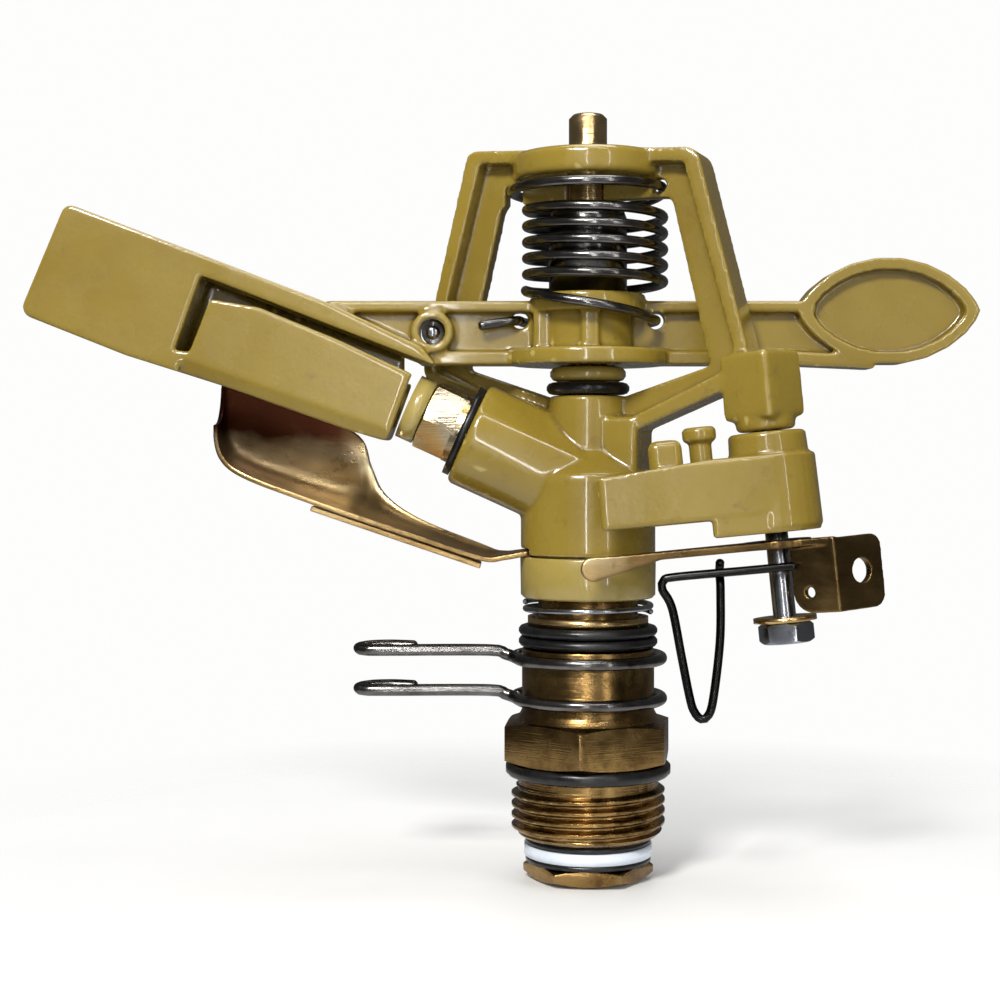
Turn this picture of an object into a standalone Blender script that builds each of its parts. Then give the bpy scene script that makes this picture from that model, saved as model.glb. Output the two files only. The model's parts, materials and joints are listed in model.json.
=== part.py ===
"""Impact sprinkler on a three-quarter-inch male inlet, as an assembly of separate pieces.

Sizes are in millimetres and MM turns them into Blender's metres. The riser's axis is Z, the
barrel points towards -X, and the sprinkler's front faces -Y. Three frames hold the geometry:
the world frame, the barrel's frame (Z along the stream) and the trip pivot's frame (Z up the bolt).
"""

import math

import bmesh
import bpy
from mathutils import Matrix, Vector

MM = 0.001
TURN_STEPS = 28
ARC_STEPS = 4
STATION_STEPS = 1
MERGE = 1e-5
GAP = 0.3  # between a bore and the pin in it

# Inlet: G 3/4 thread and a 27 mm spanner hex
THREAD_RADIUS = 13.22
THREAD_ROOT = 12.06
THREAD_PITCH = 1.814
THREAD_LOW = 7.9
THREAD_TURNS = 4
HEX_FLATS = 27.0
HEX_LOW = 19.9
HEX_HIGH = 27.1
SLEEVE_RADIUS = 11.4
SLEEVE_TOP = 39.4
INLET_BORE = 9.0
WASHER_LOW = 17.5
WASHER_HIGH = 19.7

# Spindle tube that turns in the inlet
SPINDLE_RADIUS = 8.6
WATERWAY = 6.5
SPINDLE_TOP = 57.0
FLANGE_HIGH = 2.7
FLANGE_FLATS = 19.4

# Friction collars
COLLAR_WIRE = 1.05
COLLAR_RADIUS = 12.6
COLLAR_HEIGHTS = {"lower": 30.7, "upper": 37.6}
HANDLE_REACH = 39.6
HANDLE_RISE = 1.3
HANDLE_FOLD = 9.5

# Head casting
BODY_RADIUS = 11.6
BODY_LOW = 48.0
SEAM_HEIGHT = 55.05
CASTING_LOW = 56.45
SKIRT_LOW = 55.35
SKIRT_BORE = 11.05
SHOULDER = 68.0
COLUMN_RADIUS = 6.7
COLUMN_TOP = 82.7
PIN_RADIUS = 3.3
PIN_TOP = 131.2
BARREL_HEIGHT = 66.9
BARREL_TILT = 24.5
BARREL_RADIUS = 9.15
BARREL_END = 22.75

# Bridge over the arm, in a plane turned about Z
BRIDGE_TURN = 21.0
BRIDGE_TOP = 124.7
BRIDGE_SLOPE = 0.8  # its right corner is lower than its left corner by twice this
BRIDGE_DEPTH = 9.6
BRIDGE_FLANGE = 2.3
WEB_THICKNESS = 3.0
LEG_TOP = 20.5
LEG_FOOT = 29.0
SPRING_HOLE = 13.1
SPRING_HOLE_Z = 118.2

# Trip pivot: its axis leans outwards towards the bottom
PIVOT_X = 28.6
PIVOT_Y = -13.1
PIVOT_Z = 79.0
PIVOT_LEAN = 5.8
BOLT_RADIUS = 1.9

# Arm that beats against the stream
ARM_LOW = 87.9
ARM_RAIL = 2.4
ARM_TOP = 98.9
RAIL_DEPTH = 6.8
ARM_WEB = 2.0
HUB_RADIUS = 7.6
HUB_FLANGE = 13.8
VANE_DEPTH = 14.0
VANE_WALL = 2.4
SPRING_WIRE = 0.85
SPRING_RADIUS = 11.8
SPRING_OFFSET = 1.2


def clear_scene():
    for obj in list(bpy.data.objects):
        bpy.data.objects.remove(obj, do_unlink=True)


def new_collection(name, hidden):
    made = bpy.data.collections.new(name)
    bpy.context.scene.collection.children.link(made)
    made.hide_render = hidden
    return made


clear_scene()
PARTS = new_collection("impact_sprinkler", False)
CUTTERS = new_collection("cutters", True)


def finish(name, colour, roughness, metallic):
    made = bpy.data.materials.new(name)
    made.use_nodes = True
    shader = made.node_tree.nodes["Principled BSDF"]
    shader.inputs["Base Color"].default_value = (*colour, 1.0)
    shader.inputs["Roughness"].default_value = roughness
    shader.inputs["Metallic"].default_value = metallic
    made.diffuse_color = (*colour, 1.0)
    return made


ENAMEL = finish("olive_enamel", (0.36, 0.28, 0.075), 0.25, 0.0)
BRASS = finish("brass", (0.62, 0.40, 0.13), 0.3, 1.0)
SHEET_BRASS = finish("sheet_brass", (0.55, 0.36, 0.14), 0.22, 1.0)
SPRING_STEEL = finish("spring_steel", (0.22, 0.21, 0.19), 0.35, 1.0)
BLACK_WIRE = finish("black_wire", (0.05, 0.05, 0.055), 0.4, 0.9)
ZINC = finish("zinc_plate", (0.66, 0.67, 0.7), 0.28, 1.0)
RUBBER = finish("black_rubber", (0.015, 0.015, 0.017), 0.45, 0.0)
PTFE = finish("white_ptfe", (0.85, 0.88, 0.92), 0.4, 0.0)


# Frames


def about_z(degrees):
    return Matrix.Rotation(math.radians(degrees), 4, "Z")


def shift(x, y, z):
    return Matrix.Translation(Vector((x, y, z)) * MM)


def standing(degrees):
    """A frame whose X runs along an azimuth, whose Y is world Z, and whose Z faces forward."""
    return about_z(degrees) @ Matrix.Rotation(math.pi / 2, 4, "X")


BARREL = shift(0, 0, BARREL_HEIGHT) @ Matrix.Rotation(math.radians(BARREL_TILT - 90), 4, "Y")
BRIDGE = standing(-BRIDGE_TURN)
FRONT = standing(0)
LEAN_AXIS = about_z(-BRIDGE_TURN) @ Vector((0, 1, 0))
PIVOT = shift(PIVOT_X, PIVOT_Y, PIVOT_Z) @ Matrix.Rotation(math.radians(-PIVOT_LEAN), 4, LEAN_AXIS)
HERE = Matrix()


# Shapes


def place(name, data, matrix, material=None):
    """Links an object: a part when it has a material, otherwise a cutter or a piece to be joined."""
    obj = bpy.data.objects.new(name, data)
    obj.matrix_world = matrix
    if material:
        PARTS.objects.link(obj)
        data.materials.append(material)
    else:
        CUTTERS.objects.link(obj)
        obj.hide_render = True
        obj.display_type = "WIRE"
    return obj


def smooth(mesh):
    mesh.shade_smooth()
    mesh.set_sharp_from_angle(angle=math.radians(35))


def turned(name, profile, matrix=HERE, material=None, steps=TURN_STEPS):
    """Turns (radius, height) points about Z. They run down the outer side."""
    mesh = bpy.data.meshes.new(name)
    points = [(radius * MM, 0, height * MM) for radius, height in profile]
    edges = [(i, i + 1) for i in range(len(points) - 1)]
    if profile[0][0] > 0 or profile[-1][0] > 0:
        edges.append((len(points) - 1, 0))
    mesh.from_pydata(points, edges, [])
    obj = place(name, mesh, matrix, material)
    screw = obj.modifiers.new("Turn", "SCREW")
    screw.steps = steps
    screw.render_steps = steps
    screw.use_merge_vertices = True
    screw.merge_threshold = MERGE
    screw.use_smooth_shade = True
    return obj


def ring(name, inner, outer, low, high, matrix=HERE, material=None, edge=0.0):
    """A washer, its outer edges broken by a small chamfer where edge says so."""
    if edge:
        side = [(outer - edge, high), (outer, high - edge), (outer, low + edge), (outer - edge, low)]
    else:
        side = [(outer, high), (outer, low)]
    return turned(name, [(inner, high), *side, (inner, low)], matrix, material)


def rod(name, radius, low, high, matrix=HERE, material=None, steps=TURN_STEPS):
    return turned(name, [(0, high), (radius, high), (radius, low), (0, low)], matrix, material, steps)


def bead(name, inner, outer, low, high, material):
    """A ring whose outer side is a half-round bead."""
    middle = (low + high) / 2
    half = (high - low) / 2
    angles = [math.pi / 2 - i * math.pi / 5 for i in range(6)]
    side = [(outer - half + half * math.cos(a), middle + half * math.sin(a)) for a in angles]
    return turned(name, [(inner, high), *side, (inner, low)], HERE, material)


def block(name, low, high, matrix=HERE, round_edges=0.0, material=None):
    mesh = bpy.data.meshes.new(name)
    cube = bmesh.new()
    bmesh.ops.create_cube(cube, size=1.0)
    size = (Vector(high) - Vector(low)) * MM
    centre = (Vector(high) + Vector(low)) * MM / 2
    bmesh.ops.scale(cube, vec=size, verts=cube.verts)
    bmesh.ops.translate(cube, vec=centre, verts=cube.verts)
    cube.to_mesh(mesh)
    cube.free()
    obj = place(name, mesh, matrix, material)
    if round_edges:
        soften(obj, round_edges)
    return obj


def soften(obj, width):
    bevel = obj.modifiers.new("Soften", "BEVEL")
    bevel.width = width * MM
    bevel.segments = 1
    bevel.limit_method = "ANGLE"


def rounded(corners):
    """A closed outline from (x, y, radius) corners, with an arc at each corner that has a radius."""
    outline = []
    count = len(corners)
    for i, (x, y, radius) in enumerate(corners):
        here = Vector((x, y))
        if not radius:
            outline.append(here)
            continue
        back = (Vector(corners[i - 1][:2]) - here).normalized()
        on = (Vector(corners[(i + 1) % count][:2]) - here).normalized()
        half = back.angle(on) / 2
        centre = here + (back + on).normalized() * radius / math.sin(half)
        start = here + back * radius / math.tan(half) - centre
        end = here + on * radius / math.tan(half) - centre
        sweep = start.angle_signed(end)
        for step in range(ARC_STEPS + 1):
            turn = Matrix.Rotation(-sweep * step / ARC_STEPS, 2)
            outline.append(centre + turn @ start)
    return outline


def lens(centre, half_length, half_height, steps=22):
    """An outline between an ellipse and a pointed lens."""
    outline = []
    for step in range(steps):
        a = 2 * math.pi * step / steps
        up = math.copysign(abs(math.sin(a)) ** 1.4, math.sin(a))
        outline.append(Vector((centre[0] + half_length * math.cos(a), centre[1] + half_height * up)))
    return outline


def plate(name, outlines, low, high, matrix=HERE, material=None):
    """A flat piece between two depths along its frame's Z. Outlines after the first are holes."""
    curve = bpy.data.curves.new(name, "CURVE")
    curve.dimensions = "2D"
    curve.fill_mode = "BOTH"
    curve.extrude = (high - low) / 2
    for outline in outlines:
        spline = curve.splines.new("POLY")
        spline.points.add(len(outline) - 1)
        for point, (x, y) in zip(spline.points, outline):
            point.co = (x, y, 0, 1)
        spline.use_cyclic_u = True
    return solid_from(curve, name, Matrix.Scale(MM, 4) @ shift(0, 0, (low + high) / 2 / MM), matrix, material)


def solid_from(curve, name, resize, matrix, material):
    """Turns a curve drawn in millimetres into a welded mesh object in metres."""
    drawn = bpy.data.objects.new(name + "_curve", curve)
    CUTTERS.objects.link(drawn)
    graph = bpy.context.evaluated_depsgraph_get()
    mesh = bpy.data.meshes.new_from_object(drawn.evaluated_get(graph))
    bpy.data.objects.remove(drawn, do_unlink=True)
    mesh.transform(resize)
    mesh.name = name
    whole = bmesh.new()
    whole.from_mesh(mesh)
    bmesh.ops.remove_doubles(whole, verts=whole.verts, dist=1e-7)
    bmesh.ops.recalc_face_normals(whole, faces=whole.faces)
    whole.to_mesh(mesh)
    whole.free()
    return place(name, mesh, matrix, material)


def wire(name, points, radius, matrix=HERE, material=None, closed=False):
    curve = bpy.data.curves.new(name, "CURVE")
    curve.dimensions = "3D"
    curve.bevel_depth = radius * MM
    curve.bevel_resolution = 2
    curve.use_fill_caps = True
    spline = curve.splines.new("POLY")
    spline.points.add(len(points) - 1)
    for point, place_at in zip(spline.points, points):
        point.co = (*(Vector(place_at) * MM), 1)
    spline.use_cyclic_u = closed
    return place(name, curve, matrix, material)


def hexagon(name, flats, low, high, turn=0.0, matrix=HERE, material=None, drop=0.8):
    """A spanner hex whose corners are turned down at both ends."""
    corner = flats / math.sqrt(3)
    mesh = bpy.data.meshes.new(name)
    prism = bmesh.new()
    centre = shift(0, 0, (low + high) / 2) @ about_z(turn)
    bmesh.ops.create_cone(
        prism,
        cap_ends=True,
        segments=6,
        radius1=corner * MM,
        radius2=corner * MM,
        depth=(high - low) * MM,
        matrix=centre,
    )
    prism.to_mesh(mesh)
    prism.free()
    obj = place(name, mesh, matrix, material)
    inner = flats / 2 - 0.15
    outer = corner + 0.1
    profile = [(0, high + 0.01), (inner, high + 0.01), (outer, high - drop)]
    profile += [(outer, low + drop), (inner, low - 0.01), (0, low - 0.01)]
    boolean(obj, "INTERSECT", turned(name + "_corners", profile, matrix))
    return obj


def boolean(target, operation, *others):
    for other in others:
        made = target.modifiers.new(other.name, "BOOLEAN")
        made.operation = operation
        made.object = other


def join(target, *others):
    boolean(target, "UNION", *others)


def cut(target, *others):
    boolean(target, "DIFFERENCE", *others)


def axis_empty(name, matrix):
    empty = bpy.data.objects.new(name, None)
    PARTS.objects.link(empty)
    empty.matrix_world = matrix
    empty.empty_display_size = 0.01
    return empty


def hang(empty, *objects):
    """Parents pieces to the empty on their joint's axis, and leaves them where they are."""
    for obj in objects:
        world = obj.matrix_world.copy()
        obj.parent = empty
        obj.matrix_parent_inverse = empty.matrix_world.inverted()
        obj.matrix_world = world


# Bearing and inlet


def inlet_nipple():
    crest = THREAD_PITCH * 0.16
    thread = []
    for turn in reversed(range(THREAD_TURNS)):
        centre = THREAD_LOW + THREAD_PITCH * (turn + 0.5)
        thread.append((THREAD_ROOT, centre + THREAD_PITCH / 2))
        thread.append((THREAD_RADIUS, centre + crest))
        thread.append((THREAD_RADIUS, centre - crest))
    end = THREAD_LOW - 0.9
    profile = [
        (INLET_BORE, SLEEVE_TOP),
        (SLEEVE_RADIUS - 0.4, SLEEVE_TOP),
        (SLEEVE_RADIUS, SLEEVE_TOP - 0.4),
        (SLEEVE_RADIUS, HEX_LOW + 1),
        (THREAD_ROOT, HEX_LOW + 1),
        *thread,
        (THREAD_ROOT, THREAD_LOW),
        (THREAD_ROOT - 0.7, end),
        (INLET_BORE, end),
    ]
    nipple = turned("inlet_nipple", profile, HERE, BRASS)
    spanner = hexagon("inlet_hex", HEX_FLATS, HEX_LOW, HEX_HIGH, 52.0)
    cut(spanner, rod("inlet_hex_bore", SLEEVE_RADIUS - 0.6, HEX_LOW - 1, HEX_HIGH + 1))
    join(nipple, spanner)
    return nipple


def inlet_washer():
    inner = THREAD_ROOT + 0.2
    outer = 14.2
    edge = 0.5
    profile = [
        (inner, WASHER_HIGH),
        (outer - edge, WASHER_HIGH),
        (outer, WASHER_HIGH - edge),
        (outer, WASHER_LOW + edge),
        (outer - edge, WASHER_LOW),
        (inner, WASHER_LOW),
    ]
    return turned("inlet_washer", profile, HERE, RUBBER)


def spindle_tube():
    profile = [
        (WATERWAY, SPINDLE_TOP),
        (SPINDLE_RADIUS, SPINDLE_TOP),
        (SPINDLE_RADIUS, 1.0),
        (WATERWAY, 1.0),
    ]
    tube = turned("spindle_tube", profile, HERE, BRASS)
    foot = hexagon("spindle_foot", FLANGE_FLATS, 0.0, FLANGE_HIGH, 27.0)
    cut(foot, rod("spindle_foot_bore", WATERWAY + 0.5, -1, FLANGE_HIGH + 1))
    join(tube, foot)
    cut(tube, rod("spindle_waterway", WATERWAY, -1, 5))
    return tube


def bearing_stack():
    bore = SPINDLE_RADIUS + GAP
    return [
        ring("spindle_washer_lower", bore, 10.8, 2.85, 3.65, HERE, RUBBER),
        ring("spindle_washer_ptfe", bore, 11.0, 3.8, 5.7, HERE, PTFE),
        ring("spindle_washer_upper", bore, 10.8, 5.85, 6.75, HERE, RUBBER),
        bead("dust_washer_lower", bore, 12.0, 39.6, 41.35, RUBBER),
        bead("dust_washer_upper", bore, 12.0, 41.5, 43.2, RUBBER),
        ring("thrust_ring", bore, 10.4, 43.35, 44.75, HERE, BRASS),
        bearing_spring(),
    ]


def bearing_spring():
    low = 45.45
    pitch = 1.15
    turns = 1.55
    per_turn = 18
    points = []
    for step in range(int(turns * per_turn) + 1):
        a = 2 * math.pi * step / per_turn
        points.append((10.8 * math.cos(a), 10.8 * math.sin(a), low + pitch * step / per_turn))
    return wire("bearing_spring", points, 0.5, HERE, ZINC)


def bearing_housing():
    bore = SPINDLE_RADIUS + GAP
    profile = [
        (10.2, SEAM_HEIGHT),
        (BODY_RADIUS - 0.1, SEAM_HEIGHT),
        (BODY_RADIUS + 0.1, SEAM_HEIGHT - 0.3),
        (BODY_RADIUS, BODY_LOW + 0.5),
        (BODY_RADIUS - 0.5, BODY_LOW),
        (bore, BODY_LOW),
        (bore, BODY_LOW + 1.5),
        (10.2, BODY_LOW + 1.5),
    ]
    return turned("bearing_housing", profile, HERE, ENAMEL)


def friction_collar(level):
    """A wire ring round the sleeve with one leg led out as a handle and folded back at its tip."""
    height = COLLAR_HEIGHTS[level]
    side = -0.8
    handle = height + HANDLE_RISE
    start = math.pi + math.asin(-side / COLLAR_RADIUS)
    points = []
    points.append((-HANDLE_REACH + HANDLE_FOLD, side + 2.6, handle + 0.4))
    points.append((-HANDLE_REACH + 5.5, side + 2.9, handle + 0.5))
    points.append((-HANDLE_REACH + 2.0, side + 2.3, handle + 0.45))
    points.append((-HANDLE_REACH, side + 1.1, handle + 0.2))
    points.append((-HANDLE_REACH + 1.4, side + 0.2, handle))
    points.append((-HANDLE_REACH + 5.0, side, handle))
    points.append((-COLLAR_RADIUS - 4.5, side, handle))
    points.append((-COLLAR_RADIUS - 1.8, side - 0.2, handle - 0.6))
    points.append((-COLLAR_RADIUS - 0.1, side - 1.0, height + 0.2))
    steps = 26
    for step in range(1, steps + 1):
        a = start + 0.12 + 2 * math.pi * 0.93 * step / steps
        points.append((COLLAR_RADIUS * math.cos(a), COLLAR_RADIUS * math.sin(a), height))
    return wire("friction_collar_" + level, points, COLLAR_WIRE, HERE, SPRING_STEEL)


# Head casting


def head_casting():
    profile = [
        (0, COLUMN_TOP),
        (COLUMN_RADIUS - 0.4, COLUMN_TOP),
        (COLUMN_RADIUS, COLUMN_TOP - 0.4),
        (COLUMN_RADIUS, 73.5),
        (COLUMN_RADIUS + 1.2, 71.9),
        (BODY_RADIUS - 1.6, 70.4),
        (BODY_RADIUS - 0.3, 69.2),
        (BODY_RADIUS, SHOULDER),
        (BODY_RADIUS, SKIRT_LOW),
        (SKIRT_BORE, SKIRT_LOW),
        (SKIRT_BORE, CASTING_LOW),
        (9.95, CASTING_LOW),
        (9.95, BODY_LOW + 1.8),
        (SPINDLE_RADIUS + GAP, BODY_LOW + 1.8),
        (SPINDLE_RADIUS + GAP, SPINDLE_TOP + GAP),
        (WATERWAY, SPINDLE_TOP + GAP),
        (WATERWAY, 69.0),
        (0, 70.0),
    ]
    casting = turned("head_casting", profile, HERE, ENAMEL)
    barrel = turned(
        "barrel",
        [
            (0, BARREL_END),
            (BARREL_RADIUS - 0.6, BARREL_END),
            (BARREL_RADIUS, BARREL_END - 0.6),
            (BARREL_RADIUS, 3.0),
            (0, 3.0),
        ],
        BARREL,
    )
    tilt = about_z(-40.0)
    cut(barrel, block("barrel_flat", (BARREL_RADIUS - 0.75, -9, -5), (20, 9, 30), BARREL @ tilt))
    join(casting, barrel, *bridge_pieces(), *foot_pieces())
    cut(casting, rod("nozzle_relief", BARREL_RADIUS - 0.3, BARREL_END + 0.01, 38.0, BARREL))
    cut(casting, rod("barrel_bore", WATERWAY, 0.0, 30.0, BARREL))
    cut(casting, rod("pin_bore", PIN_RADIUS + 0.15, 75.5, 140.0))
    cut(casting, rod("bolt_bore", BOLT_RADIUS + 0.25, -6.0, 8.6, PIVOT, None, 20))
    cut(casting, rod("spring_hole", 1.3, -6.0, 6.0, BRIDGE @ shift(SPRING_HOLE, SPRING_HOLE_Z, 0), None, 16))
    notch = block("spring_notch", (-14.7, 114.5, -4), (-11.6, 119.4, 4), BRIDGE)
    cut(casting, notch, block("strip_notch", (-14.0, -5.1, 54.5), (-9.9, 5.2, CASTING_LOW)))
    return casting


def bridge_outline(inset):
    """The bridge's outer line, from the right foot round to the left foot, moved inwards."""
    foot = LEG_FOOT - inset
    top = LEG_TOP - inset
    low = 84.8 + inset
    return rounded(
        [
            (foot, 90.5, 0),
            (top, BRIDGE_TOP - BRIDGE_SLOPE - inset, max(3.0 - inset, 0.4)),
            (-top, BRIDGE_TOP + BRIDGE_SLOPE - inset, max(2.0 - inset, 0.4)),
            (-foot, 90.5, 0),
            (-foot, low, 0),
            (-4, 74.2 + inset, 0),
            (4, 74.2 + inset, 0),
            (foot, low, 0),
        ]
    )


def bridge_window():
    return rounded(
        [
            (22.0, 87.5, 0.6),
            (15.3, 116.1, 1.5),
            (-15.3, 116.1, 1.5),
            (-22.0, 87.5, 0.6),
            (-6.0, 82.2, 0),
            (6.0, 82.2, 0),
        ]
    )


def bridge_pieces():
    half = BRIDGE_DEPTH / 2
    flange = plate("bridge_flange", [bridge_outline(0), bridge_outline(BRIDGE_FLANGE)], -half, half, BRIDGE)
    web_half = WEB_THICKNESS / 2
    web = plate("bridge_web", [bridge_outline(0.4), bridge_window()], -web_half, web_half, BRIDGE)
    cap = ring("bridge_cap", 1.0, 13.0, 119.7, 124.2, edge=0.7)
    gusset = block("strut_gusset", (-10.0, 62, -5.2), (10.2, 79.0, 5.2), BRIDGE, 0.8)
    return [flange, web, cap, gusset]


def foot_pieces():
    """The square block at the right foot, and the round seat under it for the trip lever."""
    half = 4.95
    foot = block("foot_block", (-half, -half, -0.6), (half, half, 10.6), PIVOT @ about_z(44.0), 0.9)
    seat = ring("foot_seat", 1.0, 4.9, -2.5, 0.4, PIVOT, edge=0.5)
    return [foot, seat]


def fulcrum_pin():
    chamfer = 0.7
    profile = [
        (0, PIN_TOP),
        (PIN_RADIUS - chamfer, PIN_TOP),
        (PIN_RADIUS, PIN_TOP - chamfer),
        (PIN_RADIUS, 76.0),
        (0, 76.0),
    ]
    return turned("fulcrum_pin", profile, HERE, BRASS, 24)


def column_rings():
    bore = PIN_RADIUS + 0.15
    return [
        bead("column_seal", bore, 7.2, 82.9, 85.0, RUBBER),
        bead("arm_thrust_washer", bore, 6.6, 85.15, 87.7, ENAMEL),
    ]


# Nozzle


def nozzle_pieces():
    hex_low = BARREL_END + 1.45
    hex_high = hex_low + 6.6
    tip = hex_high + 3.3
    body = turned(
        "nozzle",
        [
            (2.5, tip),
            (4.4, tip),
            (4.4, hex_low + 1),
            (6.2, hex_low + 1),
            (6.2, 15.0),
            (5.0, 15.0),
            (2.5, 24.0),
        ],
        BARREL,
        BRASS,
        24,
    )
    spanner = hexagon("nozzle_hex", 11.2, hex_low, hex_high, 51.0, BARREL, None, 0.4)
    cut(spanner, rod("nozzle_hex_bore", 4.0, hex_low - 1, hex_high + 1, BARREL, None, 24))
    join(body, spanner)
    seal = ring("nozzle_seal", 6.5, 8.1, BARREL_END + 0.15, BARREL_END + 1.3, BARREL, RUBBER)
    collar = ring("nozzle_collar", 4.6, 5.7, hex_high + 0.2, tip - 0.1, BARREL, ENAMEL)
    return [body, seal, collar]


# Deflector spoon below the arm


def eased(points, steps):
    """A smooth curve through the points, with the same number of steps between each two."""
    p = [Vector(q) for q in points]
    p = [p[0] * 2 - p[1], *p, p[-1] * 2 - p[-2]]
    out = []
    for a, b, c, d in zip(p, p[1:], p[2:], p[3:]):
        for step in range(steps):
            t = step / steps
            bend = 2 * a - 5 * b + 4 * c - d
            twist = 3 * b - a - 3 * c + d
            out.append(0.5 * (2 * b + (c - a) * t + bend * t**2 + twist * t**3))
    return [*out, p[-2]]


def deflector():
    """A sheet lofted between unlike sections: a flat strip that opens into a trough."""
    stations = [
        # front edge x, y, z, then back edge x, y, z
        ((-10.4, -4.4, 55.75), (-10.4, 4.4, 55.75)),
        ((-14.5, -4.5, 55.0), (-14.5, 4.6, 55.6)),
        ((-18.5, -4.6, 54.9), (-18.5, 5.0, 57.0)),
        ((-29.5, -5.2, 58.5), (-29.5, 6.2, 61.4)),
        ((-36.0, -5.6, 60.7), (-35.5, 7.6, 65.6)),
        ((-39.5, -5.8, 61.9), (-38.0, 8.6, 70.5)),
        ((-43.0, -6.0, 63.1), (-40.3, 9.0, 76.0)),
        ((-50.0, -6.0, 65.6), (-50.0, 9.2, 81.0)),
        ((-56.5, -5.8, 68.0), (-57.5, 9.2, 84.2)),
        ((-60.6, -5.1, 70.0), (-61.5, 9.1, 85.3)),
        ((-62.9, -3.6, 72.2), (-63.4, 9.0, 85.7)),
        ((-64.0, -1.7, 75.0), (-64.2, 8.8, 85.8)),
        ((-64.4, 0.4, 77.8), (-64.6, 8.6, 85.8)),
    ]
    stations = list(zip(*[eased(edge, STATION_STEPS) for edge in zip(*stations)]))
    across = 7
    points = []
    for start, end in stations:
        corner = Vector(((start.x + end.x) / 2, end.y, start.z))
        for step in range(across + 1):
            t = step / across
            points.append((start.lerp(corner, t)).lerp(corner.lerp(end, t), t) * MM)
    row = across + 1
    faces = []
    for i in range(len(stations) - 1):
        for k in range(across):
            a = i * row + k
            faces.append((a, a + 1, a + row + 1, a + row))
    mesh = bpy.data.meshes.new("deflector_spoon")
    mesh.from_pydata(points, [], faces)
    smooth(mesh)
    spoon = place("deflector_spoon", mesh, HERE, SHEET_BRASS)
    shell = spoon.modifiers.new("Sheet", "SOLIDIFY")
    shell.thickness = 0.9 * MM
    shell.offset = 0.0
    clamp = ring("deflector_ring", 10.15, SKIRT_BORE - 0.15, SEAM_HEIGHT + 0.3, CASTING_LOW - 0.15)
    join(spoon, clamp)
    return spoon


def deflector_stay():
    """The straight strip spot-welded under the spoon."""
    rise = math.radians(18.8)
    frame = shift(-18.5, 0, 53.6) @ Matrix.Rotation(math.pi, 4, "Z") @ Matrix.Rotation(-rise, 4, "Y")
    return block("deflector_stay", (0, -1.5, -0.45), (30.5, 5.2, 0.45), frame, 0.2, SHEET_BRASS)


# Trip mechanism, drawn in the pivot's own frame


def trip_lever():
    top = -6.3
    low = -19.3
    hub = turned(
        "trip_lever",
        [
            (BOLT_RADIUS + 0.3, -2.75),
            (5.9, -2.75),
            (6.4, -3.2),
            (6.55, top),
            (7.55, top - 0.5),
            (7.8, low + 0.9),
            (7.5, low + 0.7),
            (7.4, low),
            (BOLT_RADIUS + 0.3, low),
        ],
        PIVOT,
        ENAMEL,
        32,
    )
    bar_low = -16.5
    bar = block("lever_bar", (-29.0, -1.9, bar_low), (0.5, 0.9, -6.5), PIVOT @ bar_frame(), 0.9)
    slope = PIVOT @ bar_frame() @ shift(-29.5, 0, -8.0) @ Matrix.Rotation(math.radians(-4.5), 4, "Y")
    cut(bar, block("lever_bar_top", (-5, -5, 0), (40, 5, 8), slope))
    skirt = block("lever_skirt", (-11.0, -1.75, low), (0.5, 0.85, -15.0), PIVOT @ bar_frame(), 0.5)
    floor = plate(
        "lever_floor",
        [[(-1, -7.0), (-24, -4.2), (-24, -2.5), (-13, 1.5), (-1, 6.8)]],
        -12.5,
        -9.8,
        PIVOT,
    )
    stop_at = PIVOT @ shift(-11.2, -0.6, 0)
    stem = rod("lever_stop_stem", 1.9, -12.0, -2.0, stop_at, None, 16)
    stop = ring("lever_stop", 0.0, 2.8, -3.4, -0.9, stop_at, edge=0.5)
    post = block("lever_post", (-20.0, -3.6, -12.0), (-14.4, -0.6, -2.6), PIVOT, 1.4)
    join(hub, bar, skirt, floor, stem, stop, post)
    cut(hub, rod("lever_recess", 6.0, -22.0, -13.2, PIVOT, None, 24))
    cut(hub, rod("lever_bore", BOLT_RADIUS + 0.3, -25.0, 2.0, PIVOT, None, 20))
    return hub


def bar_frame():
    """The lever's bar runs at a tangent from the front of its hub."""
    return shift(0, -5.75, 0) @ about_z(-2.5)


def trip_spring():
    low = -18.2
    per_turn = 11
    turns = 3.6
    pitch = 1.15
    points = []
    for step in range(int(turns * per_turn) + 1):
        a = 2 * math.pi * step / per_turn
        points.append((4.6 * math.cos(a), 4.6 * math.sin(a), low + pitch * step / per_turn))
    return wire("trip_spring", points, 0.45, PIVOT, SPRING_STEEL)


BRACKET_BEND = Vector((7.8, -7.2))
BRACKET_LOW = -32.9
BRACKET_HIGH = -20.9
SHEET = 1.4


def trip_cam():
    """Brass plate: a hub on the bolt, a strip with a turned-down tongue, and a bent bracket."""
    top = -20.6
    low = top - SHEET
    hub = ring("trip_cam", BOLT_RADIUS + 0.3, 5.6, low, top, PIVOT, SHEET_BRASS)
    strip = plate(
        "cam_strip",
        [rounded([(3, -5.3, 0), (-29.5, -5.3, 0), (-32.0, -3.6, 0.8), (-30.5, -1.4, 1), (-3, 3.5, 0), (3, 3, 0)])],
        low + 0.05,
        top - 0.05,
        PIVOT,
    )
    tongue_frame = PIVOT @ shift(0, -4.7, 0) @ FRONT
    outline = rounded([(-20.0, top - 0.2, 0), (-33.0, top + 0.1, 2.0), (-33.0, -25.1, 2.2), (-20.0, low, 0)])
    tongue = plate("cam_tongue", [outline], -0.6, 0.6, tongue_frame)
    join(hub, strip, tongue, *bracket_pieces(), cam_link(low, top))
    cut(hub, rod("cam_bore", BOLT_RADIUS + 0.3, -30.0, -15.0, PIVOT, None, 20))
    return hub


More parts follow.
